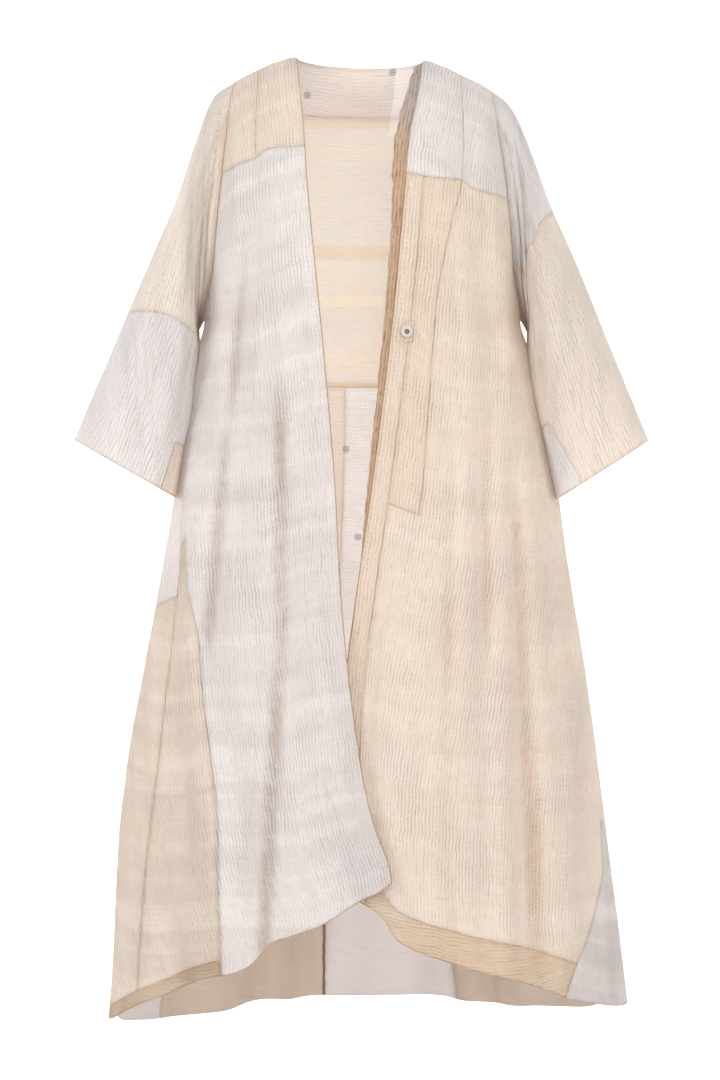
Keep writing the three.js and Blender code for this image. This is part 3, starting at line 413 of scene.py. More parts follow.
def sleevePoints(sleeve, rows, columns):
    # rings round the sleeve, the first one on the armhole, the rest on level-cut ovals
    side, front, turns = sleeve["side"], sleeve["front"], sleeve["rows"]
    turned = np.mod(rows, turns)
    inFront = turned <= 18
    lastFront = np.array([float(front["columns"])])
    lastBack = np.array([0.0 if side < 0 else float(back["columns"])])

    def armhole(turned):
        ahead = frontPoints(front, np.clip(turned, 0, 18), lastFront)[:, 0]
        behind = backPoints(back, np.clip(turns - turned, 0, 18), lastBack)[:, 0]
        return np.where((turned <= 18)[:, None], ahead, behind)

    key = 1 if side < 0 else 2
    top = curve(body["shoulder"], 0, key, body["armhole"][0][key])
    dropShare = lambda z: np.clip((top - z) / (top - body["underarm"]), 0, 1)
    wedgeBase = dropShare(armhole(np.array([14.0]))[0, 2])

    def ringTurn(share):
        turn = np.arccos(1 - 2 * np.clip(share, 0, 1)) / (2 * pi)
        return np.where(inFront[:, None], turn, 1 - turn)

    def ringPoint(turn, q, swell):
        outX, outZ, inX, inZ, depth, ahead = (curve(sleeve["sections"], 0, k, q) for k in range(1, 7))
        axisX, axisZ = (outX - inX) / 2, (outZ - inZ) / 2
        reach = 1 + swell / np.hypot(axisX, axisZ)
        along, forward = np.cos(2 * pi * turn) * reach, np.sin(2 * pi * turn)
        return np.stack([inX + axisX * (1 + along), ahead - (depth + swell) * forward,
                         inZ + axisZ * (1 + along)], -1)

    seat = armhole(turned)
    base = dropShare(seat[:, 2])[:, None]
    seamQ = curve(sleeve["seam"], 0, 1, base)
    past = (columns - sleeve["seamColumn"]) / (sleeve["columns"] - sleeve["seamColumn"])
    q = np.where(past < 0, seamQ * columns / sleeve["seamColumn"], seamQ + (1 - seamQ) * past)
    wedge = wedgeBase * curve(sleeve["wedge"], 0, 1, q)
    share = np.where(base <= wedgeBase, base * wedge / wedgeBase,
                     wedge + (base - wedgeBase) * (1 - wedge) / (1 - wedgeBase))
    turn = ringTurn(share)
    swell = np.zeros(q.shape)
    for at, q0, q1, width, height in sleeveFolds + sleeveCreases:
        run = (q - q0) / (q1 - q0)
        swell += height * np.exp(-((turn - at) / width) ** 2) * ease(run / 0.25) * ease((1 - run) / 0.3)
    for q0, turn0, q1, turn1, width, height in armholeCreases:
        run = (turn - turn0) / (turn1 - turn0)
        across = (q - q0 - (q1 - q0) * np.clip(run, 0, 1)) / width
        ridge = height * np.exp(-across ** 2)
        swell += ridge * ease(run / 0.2 + 0.4) * ease((1.05 - run) / 0.2) * ease(q / 0.02)
    first = ringPoint(ringTurn(base + 0 * q), 0 * q, 0 * q)
    settle = (1 - ease(q / 0.35))[..., None]
    return ringPoint(turn, q, swell) + (seat[:, None] - first) * settle


# fine cloth from a coarse grid
cloth = dict(
    wall=2.0,         # thickness, mm
    step=3.4,         # size of a fine cell, mm
    pucker=0.2,       # height of the soft crumple between the stitch rows, mm
    ripple=0.8,       # height of the soft uneven folds that the cloth hangs in, mm
    seamSink=0.12,    # how far a seam pulls in, mm
    backShade=0.5,    # share of the fold shade that the back has
    hollow=3.4,       # depth that the shade takes a sleeve to have beside the body, mm
)


def refine(count, lengths, step):
    # fine places between the whole numbers 0 to count, from the mean length of each gap
    parts = [np.arange(n) / n + k for k, n in
             enumerate(np.maximum(1, np.round(lengths / step)).astype(int))]
    return np.concatenate(parts + [[float(count)]])


def crumpleAt(u, v, seed):
    return noise2(u / 11, v / 5.2, seed) + 0.7 * noise2(u / 26, v / 12, seed + 1) \
        + 0.8 * noise2(u / 60, v / 34, seed + 2)


def blur(p, reach):
    # mean over a square of cells round each point, the border repeated outwards
    for axis in (0, 1):
        ends = [(reach, reach) if k == axis else (0, 0) for k in range(3)]
        wide = np.pad(p, ends, mode="edge")
        count = p.shape[axis]
        cells = 2 * reach + 1
        p = sum(np.take(wide, np.arange(k, k + count), axis) for k in range(cells)) / cells
    return p


def makeSurface(name, grid, points, closed, turned):
    # samples a grid of the coat finely, and works out its normals and its flat coordinates
    rows, columns = np.arange(grid["rows"] + 1.0), np.arange(grid["columns"] + 1.0)
    coarse = points(grid, rows, columns)
    down = np.linalg.norm(np.diff(coarse, axis=0), axis=2).mean(1)
    across = np.linalg.norm(np.diff(coarse, axis=1), axis=2).mean(0)
    r = refine(grid["rows"], down, cloth["step"])
    c = refine(grid["columns"], across, cloth["step"])
    p = points(grid, r, c)
    if closed:
        p[-1] = p[0]
        dr = np.roll(p[:-1], -1, 0) - np.roll(p[:-1], 1, 0)
        dr = np.concatenate([dr, dr[:1]])
    else:
        dr = np.gradient(p, axis=0)
    dc = np.gradient(p, axis=1)
    n = np.cross(dr, dc)
    n /= np.maximum(np.linalg.norm(n, axis=2, keepdims=True), 1e-9)
    if turned:
        n = -n
    u = np.concatenate([np.zeros((len(r), 1)),
                        np.cumsum(np.linalg.norm(np.diff(p, axis=1), axis=2), 1)], 1)
    v = np.concatenate([np.zeros((1, len(c))),
                        np.cumsum(np.linalg.norm(np.diff(p, axis=0), axis=2), 0)], 0)
    seed = sum(map(ord, name))
    # ripples run down a panel or along a sleeve, and die out where surfaces are joined
    over, along = (v, u) if closed else (u, v)
    ripple = noise2(over / 24, along / 170, seed + 3) + 0.6 * noise2(over / 13, along / 100, seed + 4)
    free = ease(u / 30) if closed else ease(v / 45) * ease((u[:, -1:] - u) / 30)
    if name == "back":
        free = free * ease(u / 30)
    if closed:
        ripple[-1] = ripple[0]
    p = p + n * (cloth["ripple"] * ripple * free)[..., None]
    # how far a point lies under the cloth round it, mm; the material paints shade into the folds where this
    # is deep
    valley = blur(((blur(p, 5) - p) * n).sum(-1, keepdims=True), 3)[..., 0]
    if name == "back":
        valley = valley * cloth["backShade"]
    if closed:
        # painted shade: the side next to the body, and the gathers along the armhole, lie in a hollow and
        # are given the fold shade
        low = np.minimum(r, grid["rows"] - r)[:, None]
        beside = ease((low - 15.6) / 1.6)
        gathers = ease((low - 3) / 3) * (1 - ease((u - 5) / 13))
        valley = valley + cloth["hollow"] * np.maximum(beside, gathers)
    print("surface", name, p.shape[:2], "valley", valley.min().round(2), valley.max().round(2))
    return dict(name=name, r=r, c=c, p=p, n=n, u=u, v=v, crumple=crumpleAt(u, v, seed),
                valley=valley, closed=closed, turned=turned)


surfaces = dict(
    rightFront=makeSurface("rightFront", rightFront, frontPoints, False, True),
    leftFront=makeSurface("leftFront", leftFront, frontPoints, False, False),
    back=makeSurface("back", back, backPoints, False, True),
    rightSleeve=makeSurface("rightSleeve", rightSleeve, sleevePoints, True, True),
    leftSleeve=makeSurface("leftSleeve", leftSleeve, sleevePoints, True, False),
)


def nearest(points, others):
    # distance from each point to the nearest of the others, a block at a time
    if not len(others):
        return np.full(len(points), 1.0)
    out = np.empty(len(points))
    for k in range(0, len(points), 4000):
        block = points[k:k + 4000]
        gap = (block ** 2).sum(1)[:, None] + (others ** 2).sum(1)[None] - 2 * block @ others.T
        out[k:k + 4000] = np.sqrt(np.maximum(gap.min(1), 0))
    return out


def makeShell(name, surface, spans, cuts=()):
    # a thin wall over the covered cells: outer face, inner face and the rim between them
    r, c, p, n = surface["r"], surface["c"], surface["p"], surface["n"]
    mid = lambda t: (t[:-1] + t[1:]) / 2
    inside = lambda s: ((mid(r) > s[0]) & (mid(r) < s[1]))[:, None] \
        & ((mid(c) > s[2]) & (mid(c) < s[3]))[None]
    mask = np.zeros((len(r) - 1, len(c) - 1), bool)
    for span in spans:
        mask |= inside(span)
    for cut in cuts:
        mask &= ~inside(cut)
    nr, nc = mask.shape
    # neighbours of each cell, round the sleeve where it is closed
    pad = np.zeros((nr + 2, nc + 2), bool)
    pad[1:-1, 1:-1] = mask
    if surface["closed"]:
        pad[0], pad[-1] = pad[-2], pad[1]
    up, low, lef, rig = pad[:-2, 1:-1], pad[2:, 1:-1], pad[1:-1, :-2], pad[1:-1, 2:]
    wrap = (lambda i: i % nr) if surface["closed"] else (lambda i: i)
    i, j = np.nonzero(mask)
    corners = [(wrap(i), j), (wrap(i + 1), j), (wrap(i + 1), j + 1), (wrap(i), j + 1)]
    width = nc + 1
    flat = [a * width + b for a, b in corners]
    used, number = np.unique(np.concatenate(flat), return_inverse=True)
    quads = number.reshape(4, -1).T
    count = len(used)
    where = (used // width, used % width)
    # border corners: those with fewer than four covered cells round them
    border = np.bincount(quads.ravel(), minlength=count) < 4
    place, normal = p[where], n[where]
    seamNear = nearest(place, place[border])
    edgeNear = nearest(place, place[border & isEdge(surface, where)])
    calm = ease(seamNear / 6)
    lift = cloth["pucker"] * surface["crumple"][where] * calm - cloth["seamSink"] * (1 - ease(seamNear / 3))
    outer = place + normal * lift[:, None]
    depth = cloth["wall"] - 2 * cloth["seamSink"] * (1 - ease(seamNear / 3))
    inner = place + normal * (lift * 0.6 - depth)[:, None]
    verts = np.concatenate([outer, inner]) * mm
    # flat coordinates of the four corners of each cell, in metres
    uv = np.stack([np.stack([surface["u"][a, b], -surface["v"][a, b]], 1)
                   for a, b in ((i, j), (i + 1, j), (i + 1, j + 1), (i, j + 1))], 1) * mm
    # rim quads along each uncovered side of a cell
    rims, rimUvs = [], []
    for neighbour, a, b in ((up, 0, 3), (low, 2, 1), (lef, 1, 0), (rig, 3, 2)):
        bare = ~neighbour[i, j]
        first, second = quads[bare, a], quads[bare, b]
        rims.append(np.stack([first, second, second + count, first + count], 1))
        rimUvs.append(uv[bare][:, [a, b, b, a]])
    faces = np.concatenate([quads, quads[:, ::-1] + count] + rims)
    faceUvs = np.concatenate([uv, uv[:, ::-1]] + rimUvs)
    if surface["turned"]:
        faces, faceUvs = faces[:, ::-1], faceUvs[:, ::-1]
    lining = np.repeat([0, 1, 0], [len(quads), len(quads), len(faces) - 2 * len(quads)])
    mesh = bpy.data.meshes.new(name)
    mesh.from_pydata(verts.tolist(), [], faces.tolist())
    mesh.polygons.foreach_set("material_index", lining)
    mesh.polygons.foreach_set("use_smooth", np.arange(len(faces)) < 2 * len(quads))
    layer = mesh.uv_layers.new(name="cloth")
    layer.uv.foreach_set("vector", faceUvs.ravel())
    deep = surface["valley"][where]
    for label, out, back in (("seamNear", seamNear * mm, seamNear * mm),
                             ("edgeNear", edgeNear * mm, edgeNear * mm), ("valley", deep, -deep)):
        attribute = mesh.attributes.new(label, "FLOAT", "POINT")
        attribute.data.foreach_set("value", np.concatenate([out, back]).astype(np.float32))
    shell = bpy.data.objects.new(name, mesh)
    bpy.context.collection.objects.link(shell)
    # the size that the piece is cut to, from its middle surface
    side = place[quads]
    area = 0.5 * np.linalg.norm(np.cross(side[:, 2] - side[:, 0], side[:, 3] - side[:, 1]), axis=1).sum()
    rowsOn, columnsOn = np.nonzero(mask.any(1))[0], np.nonzero(mask.any(0))[0]
    u, v = surface["u"], surface["v"]
    wide = max(u[k, nc - mask[k, ::-1].argmax()] - u[k, mask[k].argmax()] for k in rowsOn)
    tall = max(v[nr - mask[::-1, k].argmax(), k] - v[mask[:, k].argmax(), k] for k in columnsOn)
    print(f"{name}: {2 * len(faces)} triangles, {wide:.0f} x {tall:.0f} mm, {area * 1e-6:.4f} m2")
    return shell


def isEdge(surface, where):
    # corners on the coat's own edges: front edge, neckline, hem or cuff
    r, c = surface["r"][where[0]], surface["c"][where[1]]
    if surface["closed"]:
        return c > 17.99
    if surface["name"] == "back":
        return (r > 47.99) | ((r < 0.01) & (np.abs(surface["p"][where][:, 0]) < 84))
    return (c < 0.01) | (r > 47.99)


# shader groups


def newGroup(name, inputs, outputs):
    # an empty node group with its sockets, and short calls that add nodes to it
    tree = bpy.data.node_groups.new(name, "ShaderNodeTree")
    for label, kind, value in inputs:
        socket = tree.interface.new_socket(label, in_out="INPUT", socket_type="NodeSocket" + kind)
        if value is not None:
            socket.default_value = value
    for label, kind in outputs:
        tree.interface.new_socket(label, in_out="OUTPUT", socket_type="NodeSocket" + kind)
    return tree, tree.nodes.new("NodeGroupInput").outputs, tree.nodes.new("NodeGroupOutput").inputs


def joinTo(tree, socket, value):
    if isinstance(value, bpy.types.NodeSocket):
        tree.links.new(value, socket)
    else:
        socket.default_value = value


def calc(tree, operation, *values):
    node = tree.nodes.new("ShaderNodeMath")
    node.operation = operation
    for socket, value in zip(node.inputs, values):
        joinTo(tree, socket, value)
    return node.outputs[0]


def step(tree, value, low, high, outLow=0.0, outHigh=1.0):
    # smooth step of value between low and high
    node = tree.nodes.new("ShaderNodeMapRange")
    node.interpolation_type = "SMOOTHSTEP"
    for socket, item in zip(node.inputs, (value, low, high, outLow, outHigh)):
        joinTo(tree, socket, item)
    return node.outputs[0]


def noise(tree, vector, scale, detail=2.0):
    node = tree.nodes.new("ShaderNodeTexNoise")
    node.inputs["Detail"].default_value = detail
    joinTo(tree, node.inputs["Vector"], vector)
    joinTo(tree, node.inputs["Scale"], scale)
    return node.outputs[0]


def mixColor(tree, amount, first, second, blend="MIX"):
    node = tree.nodes.new("ShaderNodeMix")
    node.data_type, node.blend_type = "RGBA", blend
    joinTo(tree, node.inputs[0], amount)
    joinTo(tree, node.inputs[6], first)
    joinTo(tree, node.inputs[7], second)
    return node.outputs[2]


def stretch(tree, vector, scale, shift=(0, 0, 0)):
    node = tree.nodes.new("ShaderNodeMapping")
    joinTo(tree, node.inputs["Vector"], vector)
    joinTo(tree, node.inputs["Scale"], scale)
    joinTo(tree, node.inputs["Location"], shift)
    return node.outputs[0]


def makeKantha():
    # rows of running stitch: the cloth puffs between rows and dips where the thread goes over
    tree, i, o = newGroup("kanthaStitch", [
        ("Vector", "Vector", None), ("Row Pitch", "Float", 0.0055), ("Stitch Pitch", "Float", 0.0065),
        ("Turn", "Float", 0.0), ("Waver", "Float", 0.002), ("Chevron", "Float", 0.001),
        ("Dimple", "Float", 1.0),
        ("Cloth", "Color", (0.8, 0.8, 0.8, 1)), ("Hollow", "Color", (0.6, 0.5, 0.4, 1)),
        ("Thread", "Color", (0.6, 0.5, 0.4, 1)), ("Thread Amount", "Float", 0.5),
        ("Bands", "Float", 0.5), ("Band Color", "Color", (0.9, 0.8, 0.7, 1))],
        [("Color", "Color"), ("Height", "Float")])
    split = tree.nodes.new("ShaderNodeSeparateXYZ")
    joinTo(tree, split.inputs[0], i["Vector"])
    u, v = split.outputs[0], split.outputs[1]
    swap = lambda a, b: calc(tree, "MULTIPLY_ADD", calc(tree, "SUBTRACT", b, a), i["Turn"], a)
    across, along = swap(v, u), swap(u, v)
    wave = calc(tree, "SUBTRACT", noise(tree, i["Vector"], 16.0, 3.0), 0.5)
    across = calc(tree, "MULTIPLY_ADD", wave, calc(tree, "MULTIPLY", i["Waver"], 5.0), across)
    # the rows zigzag a little, so their slants line up in strips
    sway = calc(tree, "MULTIPLY_ADD", noise(tree, i["Vector"], 9.0, 2.0), 14.0,
                calc(tree, "MULTIPLY", along, 2 * pi / 0.031))
    across = calc(tree, "MULTIPLY_ADD", calc(tree, "SINE", sway), i["Chevron"], across)
    row = calc(tree, "DIVIDE", across, i["Row Pitch"])
    part = calc(tree, "FRACT", row)
    rowId = calc(tree, "FLOOR", row)
    near = calc(tree, "MINIMUM", part, calc(tree, "SUBTRACT", 1.0, part))
    puff = calc(tree, "POWER", calc(tree, "SINE", calc(tree, "MULTIPLY", part, pi)), 0.8)
    chance = tree.nodes.new("ShaderNodeTexWhiteNoise")
    chance.noise_dimensions = "1D"
    joinTo(tree, chance.inputs["W"], rowId)
    drift = noise(tree, i["Vector"], 26.0, 2.0)
    offset = calc(tree, "MULTIPLY_ADD", calc(tree, "MODULO", rowId, 2.0), 0.42,
                  calc(tree, "MULTIPLY", chance.outputs[0], 0.35))
    stitch = calc(tree, "ADD", calc(tree, "DIVIDE", along, i["Stitch Pitch"]),
                  calc(tree, "MULTIPLY_ADD", drift, 2.4, offset))
    beat = calc(tree, "SINE", calc(tree, "MULTIPLY", stitch, 2 * pi))
    over = step(tree, beat, -0.35, 0.45)
    onRow = step(tree, near, 0.05, 0.42, 1.0, 0.0)
    # dips where the thread lies over, rises where it is under
    pinch = calc(tree, "MULTIPLY", onRow, calc(tree, "SUBTRACT", 0.5, over))
    lay = tree.nodes.new("ShaderNodeCombineXYZ")
    joinTo(tree, lay.inputs[0], across)
    joinTo(tree, lay.inputs[1], along)
    ribs = noise(tree, stretch(tree, lay.outputs[0], (240, 36, 1)), 1.0, 3.0)
    rumple = calc(tree, "SUBTRACT", calc(tree, "MULTIPLY_ADD", ribs, 1.3,
                  noise(tree, stretch(tree, i["Vector"], (70, 120, 90)), 1.0, 3.0)), 1.15)
    strength = step(tree, noise(tree, i["Vector"], 12.0, 2.0), 0.3, 0.68, 0.45, 1.15)
    yarnU = calc(tree, "SINE", calc(tree, "MULTIPLY", u, 2 * pi / 0.0011))
    yarnV = calc(tree, "SINE", calc(tree, "MULTIPLY", v, 2 * pi / 0.0011))
    height = calc(tree, "ADD", calc(tree, "MULTIPLY", puff, 0.42),
                  calc(tree, "MULTIPLY", pinch, calc(tree, "MULTIPLY", i["Dimple"], 0.36)))
    height = calc(tree, "MULTIPLY", height, strength)
    height = calc(tree, "MULTIPLY_ADD", rumple, 0.8, height)
    yarn = calc(tree, "MULTIPLY", yarnU, yarnV)
    joinTo(tree, o["Height"], calc(tree, "MULTIPLY_ADD", yarn, 0.02, height))
    # colour: woven bands both ways, slubs, painted shade in the hollows, then the thread
    bandV = noise(tree, stretch(tree, i["Vector"], (1.5, 34, 1)), 1.0, 2.0)
    bandU = noise(tree, stretch(tree, i["Vector"], (26, 1.2, 1), (3.1, 0, 0)), 1.0, 2.0)
    band = step(tree, calc(tree, "ADD", bandV, calc(tree, "MULTIPLY", bandU, 0.55)), 0.66, 0.96)
    color = mixColor(tree, calc(tree, "MULTIPLY", band, i["Bands"]), i["Cloth"], i["Band Color"])
    slub = noise(tree, stretch(tree, i["Vector"], (900, 60, 1)), 1.0, 1.0)
    slub = calc(tree, "ADD", slub, noise(tree, stretch(tree, i["Vector"], (60, 900, 1)), 1.0, 1.0))
    color = mixColor(tree, step(tree, slub, 0.7, 1.5, 0.0, 0.2), color, i["Hollow"])
    # painted shade where the stitched cloth dips
    low = step(tree, height, 0.3, -0.45)
    color = mixColor(tree, calc(tree, "MULTIPLY", low, 0.6), color, i["Hollow"])
    patchy = noise(tree, i["Vector"], 7.0, 3.0)
    onThread = step(tree, near, 0.04, 0.16, 1.0, 0.0)
    fleck = noise(tree, i["Vector"], 120.0, 2.0)
    thread = calc(tree, "MULTIPLY", calc(tree, "MULTIPLY", onThread, over), step(tree, fleck, 0.42, 0.6))
    thread = calc(tree, "MULTIPLY", thread, step(tree, patchy, 0.38, 0.62, 0.25, 1.0))
    joinTo(tree, o["Color"], mixColor(tree, calc(tree, "MULTIPLY", thread, i["Thread Amount"]),
                                      color, i["Thread"]))
    return tree


def readAttribute(tree, label):
    node = tree.nodes.new("ShaderNodeAttribute")
    node.attribute_name = label
    return node.outputs["Fac"]


def makeSeamWearAndFoldShade():
    # seams darken, fold hollows get painted shade, seams dip, and the coat's own edges carry a narrow
    # turned edge
    tree, i, o = newGroup("seamWearAndFoldShade", [
        ("Color", "Color", (0.8, 0.8, 0.8, 1)), ("Height", "Float", 0.5),
        ("Seam Color", "Color", (0.6, 0.5, 0.4, 1)), ("Seam Amount", "Float", 0.5),
        ("Edge Color", "Color", (0.6, 0.5, 0.4, 1)), ("Edge Width", "Float", 0.002),
        ("Band Width", "Float", 0.006), ("Band Amount", "Float", 0.2),
        ("Fold Color", "Color", (0.6, 0.5, 0.4, 1)), ("Fold Amount", "Float", 0.6),
        ("Vector", "Vector", None)],
        [("Color", "Color"), ("Height", "Float")])
    seam, edge = readAttribute(tree, "seamNear"), readAttribute(tree, "edgeNear")
    soft = noise(tree, stretch(tree, i["Vector"], (260, 260, 1)), 1.0, 2.0)
    # painted shade in the fold hollows: the valley attribute, made patchy by noise and by the stitch height
    blotch = noise(tree, stretch(tree, i["Vector"], (120, 60, 1)), 1.0, 2.0)
    patchy = calc(tree, "MULTIPLY_ADD", blotch, 0.7,
                  calc(tree, "MULTIPLY_ADD", i["Height"], -0.5, 0.7))
    deep = step(tree, calc(tree, "MULTIPLY", readAttribute(tree, "valley"), patchy), 0.05, 3.0)
    seamJitter = calc(tree, "MULTIPLY_ADD", calc(tree, "SUBTRACT", soft, 0.5), 0.002, seam)
    edgeJitter = calc(tree, "MULTIPLY_ADD", calc(tree, "SUBTRACT", soft, 0.5), 0.0016, edge)
    band = step(tree, seamJitter, calc(tree, "MULTIPLY", i["Band Width"], 0.7), i["Band Width"], 1.0, 0.0)
    color = mixColor(tree, calc(tree, "MULTIPLY", deep, i["Fold Amount"]), i["Color"], i["Fold Color"])
    color = mixColor(tree, calc(tree, "MULTIPLY", band, i["Band Amount"]), color, i["Seam Color"])
    line = step(tree, seamJitter, 0.0003, 0.0018, 1.0, 0.0)
    color = mixColor(tree, calc(tree, "MULTIPLY", line, i["Seam Amount"]), color, i["Seam Color"])
    hem = step(tree, edgeJitter, calc(tree, "MULTIPLY", i["Edge Width"], 0.6), i["Edge Width"], 1.0, 0.0)
    joinTo(tree, o["Color"], mixColor(tree, hem, color, i["Edge Color"]))
    joinTo(tree, o["Height"], calc(tree, "MULTIPLY_ADD", line, -0.06, i["Height"]))
    return tree


def makeCrossBand():
    # a level band between two heights in the coat, with soft ends
    tree, i, o = newGroup("crossBand", [
        ("Color", "Color", (0.8, 0.8, 0.8, 1)), ("Vector", "Vector", None), ("Axis", "Vector", (0, 0, 1)),
        ("Low", "Float", 0.0), ("High", "Float", 1.0), ("Soft", "Float", 0.003),
        ("Band Color", "Color", (0.6, 0.5, 0.4, 1)), ("Amount", "Float", 1.0),
        ("Top", "Float", 10.0), ("Bottom", "Float", -10.0)],
        [("Color", "Color")])
    height = tree.nodes.new("ShaderNodeSeparateXYZ")
    joinTo(tree, height.inputs[0], i["Vector"])
    dot = tree.nodes.new("ShaderNodeVectorMath")
    dot.operation = "DOT_PRODUCT"
    joinTo(tree, dot.inputs[0], i["Vector"])
    joinTo(tree, dot.inputs[1], i["Axis"])
    at = calc(tree, "MULTIPLY_ADD", calc(tree, "SUBTRACT", noise(tree, i["Vector"], 60.0, 2.0), 0.5),
              0.004, dot.outputs["Value"])
    above = step(tree, calc(tree, "SUBTRACT", at, i["Low"]), 0.0, i["Soft"])
    below = step(tree, calc(tree, "SUBTRACT", i["High"], at), 0.0, i["Soft"])
    for limit in (calc(tree, "LESS_THAN", height.outputs[2], i["Top"]),
                  calc(tree, "GREATER_THAN", height.outputs[2], i["Bottom"])):
        above = calc(tree, "MULTIPLY", above, limit)
    mask = calc(tree, "MULTIPLY", calc(tree, "MULTIPLY", above, below), i["Amount"])
    joinTo(tree, o["Color"], mixColor(tree, mask, i["Color"], i["Band Color"]))
    return tree


def makeRosette():
    # a small printed rosette: a centre dot and two rings of dots round it
    tree, i, o = newGroup("printedRosette", [
        ("Vector", "Vector", None), ("Centre", "Vector", (0, 0, 0)), ("Radius", "Float", 0.0048)],
        [("Mask", "Float")])
    away = tree.nodes.new("ShaderNodeVectorMath")
    away.operation = "SUBTRACT"
    joinTo(tree, away.inputs[0], i["Vector"])
    joinTo(tree, away.inputs[1], i["Centre"])
    split = tree.nodes.new("ShaderNodeSeparateXYZ")
    joinTo(tree, split.inputs[0], away.outputs[0])
    x, z = split.outputs[0], split.outputs[2]
    squares = calc(tree, "ADD", calc(tree, "MULTIPLY", x, x), calc(tree, "MULTIPLY", z, z))
    radius = calc(tree, "SQRT", squares)
    reach = calc(tree, "DIVIDE", radius, i["Radius"])
    turn = calc(tree, "ARCTAN2", z, x)
    mask = step(tree, reach, 0.16, 0.26, 1.0, 0.0)
    for dots, at in ((6, 0.5), (12, 0.86)):
        beat = step(tree, calc(tree, "COSINE", calc(tree, "MULTIPLY", turn, float(dots))), -0.2, 0.3)
        ring = step(tree, calc(tree, "ABSOLUTE", calc(tree, "SUBTRACT", reach, at)), 0.1, 0.18, 1.0, 0.0)
        mask = calc(tree, "MAXIMUM", mask, calc(tree, "MULTIPLY", beat, ring))
    joinTo(tree, o["Mask"], mask)
    return tree


kantha, seamWearAndFoldShade, crossBand, rosette = makeKantha(), makeSeamWearAndFoldShade(), makeCrossBand(), makeRosette()


def place(tree, group, **values):
    # puts a group in a tree and fills its inputs
    node = tree.nodes.new("ShaderNodeGroup")
    node.node_tree = group
    for label, value in values.items():
        joinTo(tree, node.inputs[label.replace("_", " ")], value)
    return node


def rgb(code):
    # a colour written as on screen, in Blender's linear values
    values = [int(code[k:k + 2], 16) / 255 for k in (0, 2, 4)]
    linear = [x / 12.92 if x < 0.04045 else ((x + 0.055) / 1.055) ** 2.4 for x in values]
    return tuple(linear) + (1.0,)


# what each cloth looks like: colours as on screen, pitches in metres
# hollow is painted shade in the stitch dips and also the tone of the slubs; fold is the painted shade
# colour for the fold hollows
looks = dict(
    white=dict(cloth="efebea", hollow="d8cdc7", thread="cdb090", threadAmount=0.32,
               fold="a8917f", foldAmount=0.85,
               bandColor="f9f7f6", woven=0.5, turn=1.0, dimple=1.0, chevron=0.0006),
    cream=dict(cloth="efe4d8", hollow="dcc6ad", thread="d2b08a", threadAmount=0.3,
               fold="c19a73", foldAmount=0.6,
               bandColor="f5ede2", woven=0.6, turn=1.0, dimple=1.0, chevron=0.0005),
    tan=dict(cloth="ecdfd0", hollow="d6bd9e", thread="cdab84", threadAmount=0.35,
             fold="c39a70", foldAmount=0.4,
             bandColor="f2e7da", woven=0.3, turn=1.0, dimple=1.0, chevron=0.0004),
    greige=dict(cloth="eae0d9", hollow="d3bfae", thread="c8a988", threadAmount=0.3,
                fold="b89a80", foldAmount=0.4,
                bandColor="efe8e2", woven=0.5, turn=1.0, dimple=0.9, chevron=0.0005),
)


# running stitch, in metres
stitching = dict(rowPitch=0.0047, stitchPitch=0.0064, waver=0.0014)
# share of the light that goes through the cloth
frontThrough, backThrough = 0.42, 0.62


